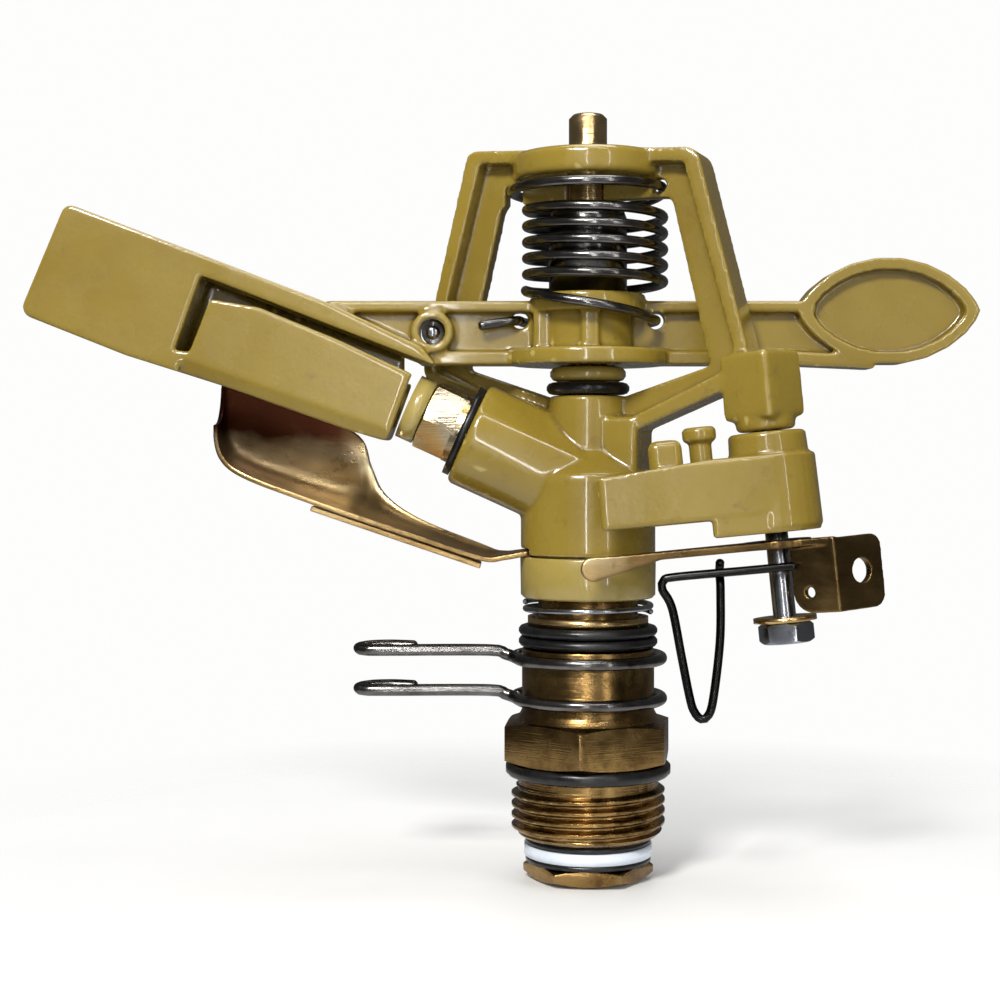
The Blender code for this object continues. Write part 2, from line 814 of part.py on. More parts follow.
def cam_link(low, top):
    """Joins the strip to the top of the bracket, in front of the bolt."""
    outline = [(-2, -5.0), (-1, -1.5), (4.0, -3.2), (8.4, -6.4), (7.6, -7.8), (3.0, -5.6)]
    return plate("cam_link", [outline], low + 0.1, top - 0.1, PIVOT)


def bracket_pieces():
    """Two facets of bent sheet, each drawn upright from the bend line."""
    right_angle = 33.0
    left_angle = 144.0
    height = BRACKET_HIGH - BRACKET_LOW
    right = rounded([(-0.4, 0, 0), (9.9, 0, 2.4), (9.9, height, 2.0), (-0.4, height, 0)])
    hole = [
        Vector((5.2 + 2.05 * math.cos(a), height * 0.52 + 2.05 * math.sin(a)))
        for a in [math.pi * step / 8 for step in range(16)]
    ]
    left = rounded([(-0.4, 0, 0), (7.6, 0, 3.5), (7.6, height, 1.5), (-0.4, height, 0)])
    small_hole = [
        Vector((4.6 + 0.9 * math.cos(a), 3.4 + 0.9 * math.sin(a)))
        for a in [math.pi * step / 5 for step in range(10)]
    ]
    base = PIVOT @ shift(BRACKET_BEND.x, BRACKET_BEND.y, BRACKET_LOW)
    half = SHEET / 2
    facets = [
        plate("bracket_right", [right, hole], -half, half, base @ standing(right_angle)),
        plate("bracket_left", [left, small_hole], -half, half, base @ standing(left_angle)),
        rod("bracket_bend", half * 1.02, 0.02, height - 0.02, base, None, 16),
    ]
    return facets


def trip_wire():
    """One wire: from the bracket along the strip, down and up in a V, and hooked over itself."""
    rod_height = -25.0
    points = [
        (1.6, -4.5, rod_height),
        (-6.0, -4.3, rod_height),
        (-17.6, -3.0, rod_height),
        (-19.5, -2.8, rod_height - 0.4),
        (-19.9, -2.7, rod_height - 1.8),
        (-18.6, -2.6, -30.0),
        (-17.8, -2.4, -38.0),
        (-17.2, -2.2, -44.0),
        (-16.7, -2.1, -46.9),
        (-15.6, -2.2, -48.5),
        (-14.3, -2.3, -47.9),
        (-13.2, -2.4, -44.9),
        (-11.3, -2.5, -36.0),
        (-10.4, -2.3, -28.0),
        (-10.2, -1.6, -25.6),
        (-10.1, -1.5, -24.4),
        (-10.0, -2.2, -23.3),
    ]
    return wire("trip_wire", points, 0.72, PIVOT, BLACK_WIRE)


def pivot_bolt():
    shank = turned(
        "pivot_bolt",
        [(0, 8.0), (BOLT_RADIUS - 0.4, 8.0), (BOLT_RADIUS, 7.6), (BOLT_RADIUS, -35.0), (0, -35.0)],
        PIVOT,
        ZINC,
        20,
    )
    join(shank, hexagon("pivot_bolt_head", 8.0, -37.6, -34.2, 12.0, PIVOT, None, 0.6))
    return shank


def bolt_washer():
    return ring("bolt_washer", BOLT_RADIUS + 0.25, 5.2, -34.05, -33.25, PIVOT, BRASS)


# Arm


def arm():
    hub = turned(
        "arm",
        [
            (3.0, 100.2),
            (9.6, 100.2),
            (9.9, 99.9),
            (9.9, ARM_TOP - 1.9),
            (HUB_RADIUS, ARM_TOP - 1.9),
            (HUB_RADIUS, ARM_LOW + 2.7),
            (HUB_FLANGE - 0.3, ARM_LOW + 2.7),
            (HUB_FLANGE, ARM_LOW + 2.4),
            (HUB_FLANGE, ARM_LOW + 0.3),
            (HUB_FLANGE - 0.3, ARM_LOW),
            (3.0, ARM_LOW),
        ],
        HERE,
        ENAMEL,
    )
    join(hub, *arm_beam(), *arm_paddle(), *arm_vane())
    cut(hub, rod("hub_bore", 4.5, 80.0, 110.0))
    for name, x, z in (("web_hole_left", -11.7, 95.7), ("web_hole_right", 11.65, 95.6)):
        cut(hub, rod(name, 1.45, -5, 5, FRONT @ shift(x, z, 0), None, 16))
    cut(hub, rod("boss_hole", 2.25, -8, 8, FRONT @ shift(-26.8, 93.6, 0), None, 20))
    return hub


def arm_beam():
    half = RAIL_DEPTH / 2
    web_half = ARM_WEB / 2
    web = plate(
        "arm_web",
        [[(-47.0, 98.6), (-28.2, 88.4), (47.0, 88.2), (50.0, 97.0), (38.5, 98.6)]],
        -web_half,
        web_half,
        FRONT,
    )
    pieces = [
        web,
        block("arm_rail_low", (-29.0, -half, ARM_LOW), (36.0, half, ARM_LOW + ARM_RAIL), HERE, 0.4),
        block("arm_rail_top", (-45.0, -half, ARM_TOP - 1.95), (38.8, half, ARM_TOP), HERE, 0.4),
        block("hub_rib", (-1.5, -8.7, 89.0), (1.5, -5.0, 98.6), HERE, 0.5),
        block("hub_cheek", (-9.5, -4.0, 89.0), (-4.0, 4.0, 98.4), HERE, 0.5),
        rod("screw_boss", 3.6, -4.4, 4.4, FRONT @ shift(-26.8, 93.6, 0), None, 24),
    ]
    slope = FRONT @ shift(34.0, ARM_LOW + 1.2, 0) @ about_z(-2.5)
    pieces.append(block("paddle_rail", (0, -1.2, -half + 0.1), (15.0, 1.2, half - 0.1), slope, 0.4))
    return pieces


def arm_paddle():
    centre = (51.4, 97.2)
    rim = plate("paddle", [lens(centre, 15.6, 9.2)], -3.4, 3.4, FRONT)
    for name, low, high in (("paddle_front", 1.0, 5.0), ("paddle_back", -5.0, -1.0)):
        cut(rim, plate(name, [lens(centre, 13.2, 7.2)], low, high, FRONT))
    return [rim]


def vane_outline():
    return rounded(
        [
            (-88.7, 115.2, 1.7),
            (-96.5, 96.5, 1.9),
            (-78.6, 89.4, 0),
            (-62.5, 84.3, 0),
            (-40.3, 76.5, 0),
            (-34.4, 74.8, 0.9),
            (-30.3, 86.0, 0),
            (-26.2, 87.95, 0),
            (-28.6, 90.9, 0),
            (-43.9, 98.1, 0),
        ]
    )


def arm_vane():
    """A thick vane, hollow inside: a slot opens its channel in front, its far end is open behind."""
    half = VANE_DEPTH / 2
    vane = plate("vane", [vane_outline()], -half, half, FRONT)
    channel = [(-66.0, 102.6), (-70.4, 89.7), (-61.9, 86.7), (-40.8, 79.3), (-28.0, 75.6), (-24.0, 86.4), (-36.0, 91.0)]
    cut(vane, plate("vane_channel", [channel], -half + VANE_WALL, half - VANE_WALL, FRONT))
    box = [(-87.4, 112.2), (-93.1, 97.9), (-78.5, 92.1), (-73.4, 90.6), (-68.9, 104.8)]
    cut(vane, plate("vane_box", [box], -half - 1, half - VANE_WALL, FRONT))
    slot = [
        (-65.8, 102.8),
        (-62.8, 101.8),
        (-44.3, 94.6),
        (-24.0, 86.8),
        (-24.0, 83.9),
        (-30.0, 86.2),
        (-43.0, 92.2),
        (-56.0, 97.5),
        (-64.2, 98.9),
        (-67.7, 90.0),
        (-70.3, 90.2),
    ]
    cut(vane, plate("vane_slot", [slot], 2.0, half + 1, FRONT))
    cut(vane, block("bridge_relief", (-32.0, 85.0, -half - 1), (-20.0, 95.0, -RAIL_DEPTH / 2), FRONT))
    edge = FRONT @ shift(-66.8, 85.9, half) @ about_z(-19.4) @ shift(0, 2.2, 0)
    cut(vane, block("vane_bevel", (-3.0, -6, 0), (36, 3, 5), edge @ Matrix.Rotation(math.radians(28.6), 4, "X")))
    return [vane]


def arm_screw():
    frame = FRONT @ shift(-26.8, 93.6, 0)
    return turned(
        "arm_screw",
        [(0, 2.4), (0.8, 2.2), (1.15, 1.8), (1.2, 0.6), (1.95, 0.6), (1.95, -3.6), (0, -3.6)],
        frame,
        ZINC,
        20,
    )


def arm_bushing():
    return ring("arm_bushing", PIN_RADIUS + 0.15, 4.3, 88.0, 100.0, HERE, BRASS)


def spring_sleeve():
    profile = [
        (PIN_RADIUS + 0.2, 115.0),
        (5.2, 115.0),
        (6.3, 114.4),
        (6.75, 113.2),
        (6.75, 100.4),
        (PIN_RADIUS + 0.2, 100.4),
    ]
    return turned("spring_sleeve", profile, HERE, SPRING_STEEL, 32)


def arm_spring():
    """A torsion spring: its top leg goes through the bridge's web, its coils drop round the
    sleeve, and its bottom leg goes through the arm's web on both sides of the hub."""
    left = 180.0 - BRIDGE_TURN
    right = 360.0 - BRIDGE_TURN
    hole = SPRING_HOLE_Z
    # each stretch: azimuth, height and radius at its start and end, and its number of steps
    stretches = [
        ((left - 10, hole - 0.3, SPRING_HOLE), (right, hole, SPRING_HOLE), 10),
        ((right, hole, SPRING_HOLE), (left + 360, 114.9, SPRING_RADIUS), 10),
        ((left + 360, 114.9, SPRING_RADIUS), (180 + 6 * 360, 100.9, SPRING_RADIUS), 5 * 14),
        ((180 + 6 * 360, 100.9, SPRING_RADIUS), (335 + 6 * 360, 95.65, SPRING_RADIUS - 0.1), 9),
        ((335 + 6 * 360, 95.65, SPRING_RADIUS - 0.1), (178 + 7 * 360, 95.65, 11.7), 12),
    ]
    points = [azimuth_point(*stretches[0][0])]
    for start, end, steps in stretches:
        for step in range(1, steps + 1):
            t = step / steps
            points.append(azimuth_point(*[a + (b - a) * t for a, b in zip(start, end)]))
    points.append(Vector((-12.1, -1.2, 95.6)))
    points.append(Vector((-13.4, -2.4, 95.4)))
    points.append(Vector((-18.4, -3.3, 94.6)))
    return wire("arm_spring", points, SPRING_WIRE, HERE, SPRING_STEEL)


def azimuth_point(degrees, height, radius):
    """A point on the spring. Its free coils stand a little to the right of the pin."""
    a = math.radians(degrees)
    free = min(1.0, max(0.0, (height - 98.5) / 3.0)) * min(1.0, max(0.0, (117.5 - height) / 3.0))
    return Vector((radius * math.cos(a) + SPRING_OFFSET * free, radius * math.sin(a), height))


def build():
    inlet_nipple()
    inlet_washer()
    head = [spindle_tube(), *bearing_stack(), bearing_housing(), head_casting(), fulcrum_pin()]
    head += [*column_rings(), *nozzle_pieces(), deflector(), deflector_stay(), pivot_bolt(), bolt_washer()]
    hang(axis_empty("head_axis", HERE), *head)
    for level in COLLAR_HEIGHTS:
        hang(axis_empty("collar_axis_" + level, HERE), friction_collar(level))
    hang(axis_empty("arm_axis", HERE), arm(), arm_bushing(), spring_sleeve(), arm_screw(), arm_spring())
    hang(axis_empty("trip_axis", PIVOT), trip_lever(), trip_cam(), trip_wire(), trip_spring())


build()
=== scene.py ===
"""Impact sprinkler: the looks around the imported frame.

Every visible piece is a finer copy of its CAD node: turned pieces with round sides, castings
with soft edges and fillets, a real helical thread and smooth wires. Sizes are in millimetres
and MM turns them into metres.
"""

import json
import math

import bmesh
import bpy
from mathutils import Matrix, Vector

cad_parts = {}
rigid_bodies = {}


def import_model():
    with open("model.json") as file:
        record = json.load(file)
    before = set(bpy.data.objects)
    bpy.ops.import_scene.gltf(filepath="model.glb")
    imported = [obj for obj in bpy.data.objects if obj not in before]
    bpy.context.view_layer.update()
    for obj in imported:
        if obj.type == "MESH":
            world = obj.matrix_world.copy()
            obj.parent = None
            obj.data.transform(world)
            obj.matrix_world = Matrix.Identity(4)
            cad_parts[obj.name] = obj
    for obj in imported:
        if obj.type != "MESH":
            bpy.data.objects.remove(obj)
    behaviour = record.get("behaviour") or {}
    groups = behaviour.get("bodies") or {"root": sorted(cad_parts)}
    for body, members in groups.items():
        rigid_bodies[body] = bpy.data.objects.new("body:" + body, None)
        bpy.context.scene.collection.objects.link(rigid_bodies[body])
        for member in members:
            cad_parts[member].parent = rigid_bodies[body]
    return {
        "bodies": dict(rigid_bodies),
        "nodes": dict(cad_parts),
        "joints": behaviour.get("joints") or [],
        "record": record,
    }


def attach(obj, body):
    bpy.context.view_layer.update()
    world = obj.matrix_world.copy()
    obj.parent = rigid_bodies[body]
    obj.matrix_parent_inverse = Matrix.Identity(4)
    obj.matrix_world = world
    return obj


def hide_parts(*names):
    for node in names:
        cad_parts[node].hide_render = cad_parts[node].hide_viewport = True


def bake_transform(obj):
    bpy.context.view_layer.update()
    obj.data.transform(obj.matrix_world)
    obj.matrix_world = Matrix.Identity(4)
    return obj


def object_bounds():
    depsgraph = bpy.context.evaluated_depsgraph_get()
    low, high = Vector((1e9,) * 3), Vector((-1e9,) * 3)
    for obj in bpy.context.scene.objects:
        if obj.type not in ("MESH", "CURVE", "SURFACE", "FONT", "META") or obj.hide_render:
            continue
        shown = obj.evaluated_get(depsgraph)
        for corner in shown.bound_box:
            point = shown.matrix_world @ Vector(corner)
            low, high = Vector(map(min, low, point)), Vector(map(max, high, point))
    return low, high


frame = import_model()
CAD_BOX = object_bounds()
MIDDLE = (Vector(CAD_BOX[0]) + Vector(CAD_BOX[1])) / 2

MM = 0.001
TURN_STEPS = 112
ARC_STEPS = 8
STATION_STEPS = 6
MERGE = 1e-5
GAP = 0.3  # between a bore and the pin in it
HOLE_STEPS = 16
BOLT_STEPS = 20
PIN_STEPS = 24
SLEEVE_STEPS = 32
WIRE_SPACING = 0.7
COIL_PITCH = 1.15
SMOOTH_BELOW = math.radians(35)

# Inlet: G 3/4 thread and a 27 mm spanner hex
THREAD_RADIUS = 13.22
THREAD_ROOT = 12.06
THREAD_PITCH = 1.814
THREAD_LOW = 7.9
THREAD_TURNS = 4
HEX_FLATS = 27.0
HEX_LOW = 19.9
HEX_HIGH = 27.1
SLEEVE_RADIUS = 11.4
SLEEVE_TOP = 39.4
INLET_BORE = 9.0
WASHER_LOW = 17.5
WASHER_HIGH = 19.7

# Spindle tube that turns in the inlet
SPINDLE_RADIUS = 8.6
WATERWAY = 6.5
TUBE_BORE = SPINDLE_RADIUS + GAP
SPINDLE_TOP = 57.0
FLANGE_HIGH = 2.7
FLANGE_FLATS = 19.4

# Friction collars
COLLAR_WIRE = 1.05
COLLAR_RADIUS = 12.6
COLLAR_HEIGHTS = {"lower": 30.7, "upper": 37.6}
HANDLE_REACH = 39.6
HANDLE_RISE = 1.3
HANDLE_FOLD = 9.5

# Head casting
BODY_RADIUS = 11.6
BODY_LOW = 48.0
SEAM_HEIGHT = 55.05
CASTING_LOW = 56.45
SKIRT_LOW = 55.35
SKIRT_BORE = 11.05
SHOULDER = 68.0
COLUMN_RADIUS = 6.7
COLUMN_TOP = 82.7
PIN_RADIUS = 3.3
PIN_TOP = 131.2
PIN_BORE = PIN_RADIUS + 0.15
BARREL_HEIGHT = 66.9
BARREL_TILT = 24.5
BARREL_RADIUS = 9.15
BARREL_END = 22.75

# Bridge over the arm, in a plane turned about Z
BRIDGE_TURN = 21.0
BRIDGE_TOP = 124.7
BRIDGE_SLOPE = 0.8  # its right corner is lower than its left corner by twice this
BRIDGE_DEPTH = 9.6
BRIDGE_FLANGE = 2.3
WEB_THICKNESS = 3.0
LEG_TOP = 20.5
LEG_FOOT = 29.0
SPRING_HOLE = 13.1
SPRING_HOLE_Z = 118.2

# Trip pivot: its axis leans outwards towards the bottom
PIVOT_X = 28.6
PIVOT_Y = -13.1
PIVOT_Z = 79.0
PIVOT_LEAN = 5.8
BOLT_RADIUS = 1.9
LEVER_BORE = BOLT_RADIUS + 0.3

# Arm that beats against the stream
ARM_LOW = 87.9
ARM_RAIL = 2.4
ARM_TOP = 98.9
RAIL_DEPTH = 6.8
ARM_WEB = 2.0
HUB_RADIUS = 7.6
HUB_FLANGE = 13.8
VANE_DEPTH = 14.0
VANE_WALL = 2.4
SPRING_WIRE = 0.85
SPRING_RADIUS = 11.8
SPRING_OFFSET = 1.2

# How finely the joined pieces are remeshed, and how often they are smoothed
MELTED = {
    "head_casting": (0.36, 7),
    "arm": (0.34, 6),
    "trip_lever": (0.26, 6),
    "trip_cam": (0.16, 16),
    "deflector_spoon": (0.17, 6),
    "friction_collar_upper": (0.18, 5),
    "friction_collar_lower": (0.18, 5),
}
KEPT_SHARE = 0.45
# Width of the broken edges on the machined pieces
EDGED = {"nozzle": 0.12, "pivot_bolt": 0.14, "inlet_nipple": 0.16, "spindle_tube": 0.2, "arm_screw": 0.1}

PARTS = bpy.data.collections.new("looks")
CUTTERS = bpy.data.collections.new("looks_cutters")
bpy.context.scene.collection.children.link(PARTS)
bpy.context.scene.collection.children.link(CUTTERS)


# Materials


class Nodes:
    """A short way to write a material's nodes."""

    def __init__(self, name):
        self.material = bpy.data.materials.new(name)
        self.material.use_nodes = True
        self.tree = self.material.node_tree
        self.shader = self.tree.nodes["Principled BSDF"]
        self.where = self.new("TexCoord").outputs["Object"]

    def new(self, kind):
        return self.tree.nodes.new("ShaderNode" + kind)

    def join(self, output, socket):
        self.tree.links.new(output, socket)

    def set(self, **values):
        for name, value in values.items():
            self.shader.inputs[name.replace("_", " ")].default_value = value

    def link(self, output, name):
        self.join(output, self.shader.inputs[name])

    def mapped(self, scale):
        node = self.new("Mapping")
        node.inputs["Scale"].default_value = scale
        self.join(self.where, node.inputs["Vector"])
        return node.outputs["Vector"]

    def noise(self, scale, detail=4.0, rough=0.55, stretch=None, distort=0.0):
        node = self.new("TexNoise")
        node.inputs["Scale"].default_value = scale
        node.inputs["Detail"].default_value = detail
        node.inputs["Roughness"].default_value = rough
        node.inputs["Distortion"].default_value = distort
        self.join(self.mapped(stretch or (1, 1, 1)), node.inputs["Vector"])
        return node.outputs["Fac"]

    def span(self, value, low, high, to_low=0.0, to_high=1.0):
        node = self.new("MapRange")
        ends = {"From Min": low, "From Max": high, "To Min": to_low, "To Max": to_high}
        for name, number in ends.items():
            node.inputs[name].default_value = number
        self.join(value, node.inputs["Value"])
        return node.outputs["Result"]

    def math(self, operation, a, b):
        node = self.new("Math")
        node.operation = operation
        for socket, value in zip(node.inputs, (a, b)):
            if isinstance(value, (int, float)):
                socket.default_value = value
            else:
                self.join(value, socket)
        return node.outputs[0]

    def mix(self, factor, a, b):
        node = self.new("Mix")
        node.data_type = "RGBA"
        self.join(factor, node.inputs[0])
        for socket, value in zip((node.inputs[6], node.inputs[7]), (a, b)):
            if isinstance(value, tuple):
                socket.default_value = (*value, 1.0)
            else:
                self.join(value, socket)
        return node.outputs[2]

    def axes(self):
        """The place along the object's X, Y and Z."""
        node = self.new("SeparateXYZ")
        self.join(self.where, node.inputs[0])
        return node.outputs

    def edges(self, low, high):
        """1 on sharp outer edges and 0 on flat sides."""
        node = self.new("NewGeometry")
        return self.span(node.outputs["Pointiness"], low, high)

    def bump(self, value, depth, strength=1.0):
        node = self.new("Bump")
        node.inputs["Strength"].default_value = strength
        node.inputs["Distance"].default_value = depth
        self.join(value, node.inputs["Height"])
        before = self.shader.inputs["Normal"].links
        if before:
            self.join(before[0].from_socket, node.inputs["Normal"])
        self.link(node.outputs[0], "Normal")


def enamel():
    """Glossy olive enamel on a casting: slightly uneven, thin on its edges, with specks of grime and
    painted shade in its hollows.
    """
    n = Nodes("look_olive_enamel")
    tone = n.span(n.noise(38, 5), 0.3, 0.7)
    colour = n.mix(tone, (0.225, 0.152, 0.018), (0.300, 0.212, 0.030))
    grime = n.span(n.noise(260, 6, 0.7), 0.60, 0.80, 0.0, 0.8)
    colour = n.mix(grime, colour, (0.13, 0.085, 0.016))
    # Painted shade: the enamel turns darker in the casting's hollows and fillets.
    colour = n.mix(n.edges(0.495, 0.455), colour, (0.12, 0.078, 0.014))
    colour = n.mix(n.edges(0.52, 0.60), colour, (0.43, 0.335, 0.10))
    n.link(colour, "Base Color")
    n.link(n.span(n.noise(120, 4), 0.3, 0.7, 0.20, 0.34), "Roughness")
    n.set(Coat_Weight=0.8, Coat_Roughness=0.07, Specular_IOR_Level=0.4)
    n.bump(n.noise(420, 3), 0.00022, 0.35)
    n.bump(n.noise(90, 2), 0.0006, 0.22)
    return n.material


def turned_brass(name, light, dark, lines, tarnish):
    """Machined brass with fine turning lines, brown tarnish and bright rubbed edges."""
    n = Nodes(name)
    blotch = n.span(n.noise(70, 6, 0.6, (1, 1, 1.6)), 0.35, 0.68)
    colour = n.mix(blotch, light, dark)
    brown = n.span(n.noise(190, 5, 0.65), 0.50, 0.70, 0.0, tarnish)
    colour = n.mix(brown, colour, (0.055, 0.024, 0.008))
    colour = n.mix(n.edges(0.53, 0.60), colour, (0.60, 0.41, 0.18))
    n.link(colour, "Base Color")
    n.set(Metallic=1.0)
    n.link(n.span(n.noise(240, 5), 0.3, 0.7, 0.16, 0.34), "Roughness")
    n.bump(n.noise(lines, 2, 0.5, (0.03, 0.03, 1)), 0.00009, 0.5)
    n.bump(n.noise(600, 3), 0.00005, 0.4)
    return n.material


def sheet():
    """Rolled brass sheet: long scuffs and tarnish, a painted highlight band, and a painted dark red
    shadow under the arm in the spoon's upper part.
    """
    n = Nodes("look_sheet_brass")
    streak = n.span(n.noise(60, 6, 0.6, (0.35, 1, 2.2), 0.6), 0.34, 0.66)
    colour = n.mix(streak, (0.60, 0.43, 0.20), (0.27, 0.17, 0.065))
    along, _, up = n.axes()
    # Painted shadow: the spoon's upper, far part turns dark red, the shade and red reflection under the
    # arm.
    ragged = n.span(n.noise(90, 4), 0, 1, -0.004, 0.004)
    high = n.span(n.math("ADD", up, ragged), 0.069, 0.077)
    # Painted highlight: a narrow cream band running slantwise across the spoon.
    highlight_band = n.math("SUBTRACT", up, n.math("MULTIPLY", along, -0.30))
    bright = n.span(n.math("ABSOLUTE", n.math("SUBTRACT", highlight_band, 0.0584), 0.0), 0.0050, 0.0008)
    colour = n.mix(bright, colour, (0.95, 0.80, 0.50))
    reach = n.span(along, -0.036, -0.044)
    painted_shadow_under_arm = n.math("MULTIPLY", high, reach)
    colour = n.mix(painted_shadow_under_arm, colour, (0.075, 0.022, 0.010))
    bronze = n.span(along, -0.006, 0.006)
    colour = n.mix(bronze, colour, n.mix(streak, (0.25, 0.165, 0.065), (0.11, 0.065, 0.024)))
    spots = n.span(n.noise(330, 6, 0.7), 0.58, 0.72, 0.0, 0.6)
    colour = n.mix(spots, colour, (0.12, 0.06, 0.025))
    n.link(colour, "Base Color")
    n.set(Metallic=1.0)
    n.link(n.span(n.noise(150, 5), 0.3, 0.7, 0.24, 0.44), "Roughness")
    n.bump(n.noise(300, 4, 0.6, (0.2, 1, 2)), 0.00009, 0.6)
    return n.material


def steel(name, light, dark, low, high):
    """Plain or plated steel with a few stains, its roughness between low and high."""
    n = Nodes(name)
    colour = n.mix(n.span(n.noise(140, 5, 0.6), 0.35, 0.65), light, dark)
    stain = n.span(n.noise(420, 5, 0.7), 0.60, 0.75, 0.0, 0.5)
    colour = n.mix(stain, colour, (0.05, 0.032, 0.02))
    n.link(colour, "Base Color")
    n.set(Metallic=1.0)
    n.link(n.span(n.noise(300, 4), 0.3, 0.7, low, high), "Roughness")
    n.bump(n.noise(900, 3), 0.00004, 0.5)
    return n.material


def rubber():
    """Black rubber with a faint grey bloom."""
    n = Nodes("look_black_rubber")
    bloom = n.span(n.noise(300, 5), 0.4, 0.7)
    n.link(n.mix(bloom, (0.003, 0.003, 0.004), (0.011, 0.011, 0.011)), "Base Color")
    n.link(n.span(n.noise(160, 4), 0.3, 0.7, 0.22, 0.42), "Roughness")
    n.bump(n.noise(900, 3), 0.00006, 0.5)
    return n.material


def ptfe():
    """White plastic with a cold tint and fine turning lines."""
    n = Nodes("look_white_ptfe")
    tone = n.span(n.noise(160, 5), 0.35, 0.7)
    n.link(n.mix(tone, (0.80, 0.86, 0.94), (0.62, 0.68, 0.78)), "Base Color")
    n.link(n.span(n.noise(300, 4), 0.3, 0.7, 0.28, 0.45), "Roughness")
    n.bump(n.noise(700, 2, 0.5, (0.05, 0.05, 1)), 0.00008, 0.5)
    return n.material


ENAMEL = enamel()
BRASS = turned_brass("look_brass", (0.37, 0.235, 0.085), (0.16, 0.092, 0.032), 5200.0, 0.75)
# Paler brass: the fulcrum pin's own paler metal, and on the nozzle a painted highlight that lifts the
# whole piece.
PALE_BRASS_AND_SHEEN = turned_brass("look_pale_brass", (0.62, 0.55, 0.40), (0.42, 0.35, 0.24), 4200.0, 0.3)
SHEET_BRASS = sheet()
SPRING_STEEL = steel("look_spring_steel", (0.20, 0.195, 0.19), (0.075, 0.07, 0.066), 0.14, 0.27)
BLACK_WIRE = steel("look_black_wire", (0.035, 0.033, 0.032), (0.014, 0.014, 0.015), 0.16, 0.28)
ZINC = steel("look_zinc_plate", (0.42, 0.43, 0.47), (0.26, 0.27, 0.30), 0.12, 0.26)
RUBBER = rubber()
PTFE = ptfe()


# Frames


def about_z(degrees):
    """A turn about Z."""
    return Matrix.Rotation(math.radians(degrees), 4, "Z")


def shift(x, y, z):
    """A move by millimetres."""
    return Matrix.Translation(Vector((x, y, z)) * MM)


def standing(degrees):
    """A frame whose X runs along an azimuth, whose Y is world Z, and whose Z faces forward."""
    return about_z(degrees) @ Matrix.Rotation(math.pi / 2, 4, "X")


BARREL = shift(0, 0, BARREL_HEIGHT) @ Matrix.Rotation(math.radians(BARREL_TILT - 90), 4, "Y")
BRIDGE = standing(-BRIDGE_TURN)
FRONT = standing(0)
SCREW = FRONT @ shift(-26.8, 93.6, 0)
LEAN_AXIS = about_z(-BRIDGE_TURN) @ Vector((0, 1, 0))
PIVOT = shift(PIVOT_X, PIVOT_Y, PIVOT_Z) @ Matrix.Rotation(math.radians(-PIVOT_LEAN), 4, LEAN_AXIS)
HERE = Matrix()


# Shapes


def place(name, data, matrix, material=None):
    """Links an object: a piece when it has a material, otherwise a cutter or a piece to be joined."""
    obj = bpy.data.objects.new(f"{name}_look" if material else name, data)
    obj.matrix_world = matrix
    if material:
        PARTS.objects.link(obj)
        data.materials.append(material)
    else:
        CUTTERS.objects.link(obj)
    return obj


def smooth(mesh):
    """Smooth shading that keeps the sharp edges."""
    mesh.shade_smooth()
    mesh.set_sharp_from_angle(angle=SMOOTH_BELOW)


def soften(obj, width):
    """Rounds an object's edges."""
    bevel = obj.modifiers.new("Soften", "BEVEL")
    bevel.width = width * MM
    bevel.segments = 4
    bevel.limit_method = "ANGLE"


def turned(name, profile, matrix=HERE, material=None, steps=TURN_STEPS):
    """Turns (radius, height) points about Z. They run down the outer side."""
    mesh = bpy.data.meshes.new(name)
    points = [(radius * MM, 0, height * MM) for radius, height in profile]
    edges = [(i, i + 1) for i in range(len(points) - 1)]
    if profile[0][0] > 0 or profile[-1][0] > 0:
        edges.append((len(points) - 1, 0))
    mesh.from_pydata(points, edges, [])
    obj = place(name, mesh, matrix, material)
    screw = obj.modifiers.new("Turn", "SCREW")
    screw.steps = steps
    screw.render_steps = steps
    screw.use_merge_vertices = True
    screw.merge_threshold = MERGE
    screw.use_smooth_shade = True
    return obj


def ring(name, inner, outer, low, high, matrix=HERE, material=None, edge=0.0):
    """A washer, its outer edges broken by a small chamfer where edge says so."""
    if edge:
        side = [(outer - edge, high), (outer, high - edge), (outer, low + edge), (outer - edge, low)]
    else:
        side = [(outer, high), (outer, low)]
    return turned(name, [(inner, high), *side, (inner, low)], matrix, material)


def rod(name, radius, low, high, matrix=HERE, steps=TURN_STEPS):
    """A plain cylinder, for a hole or a piece to be joined."""
    return turned(name, [(0, high), (radius, high), (radius, low), (0, low)], matrix, None, steps)


def bead(name, inner, outer, low, high, material):
    """A ring whose outer side is a half-round bead."""
    middle = (low + high) / 2
    half = (high - low) / 2
    angles = [math.pi / 2 - i * math.pi / 5 for i in range(6)]
    side = [(outer - half + half * math.cos(a), middle + half * math.sin(a)) for a in angles]
    return turned(name, [(inner, high), *side, (inner, low)], HERE, material)


def block(name, low, high, matrix=HERE, round_edges=0.0, material=None):
    """A box between two corners."""
    mesh = bpy.data.meshes.new(name)
    cube = bmesh.new()
    bmesh.ops.create_cube(cube, size=1.0)
    size = (Vector(high) - Vector(low)) * MM
    centre = (Vector(high) + Vector(low)) * MM / 2
    bmesh.ops.scale(cube, vec=size, verts=cube.verts)
    bmesh.ops.translate(cube, vec=centre, verts=cube.verts)
    cube.to_mesh(mesh)
    cube.free()
    obj = place(name, mesh, matrix, material)
    if round_edges:
        soften(obj, round_edges)
    return obj


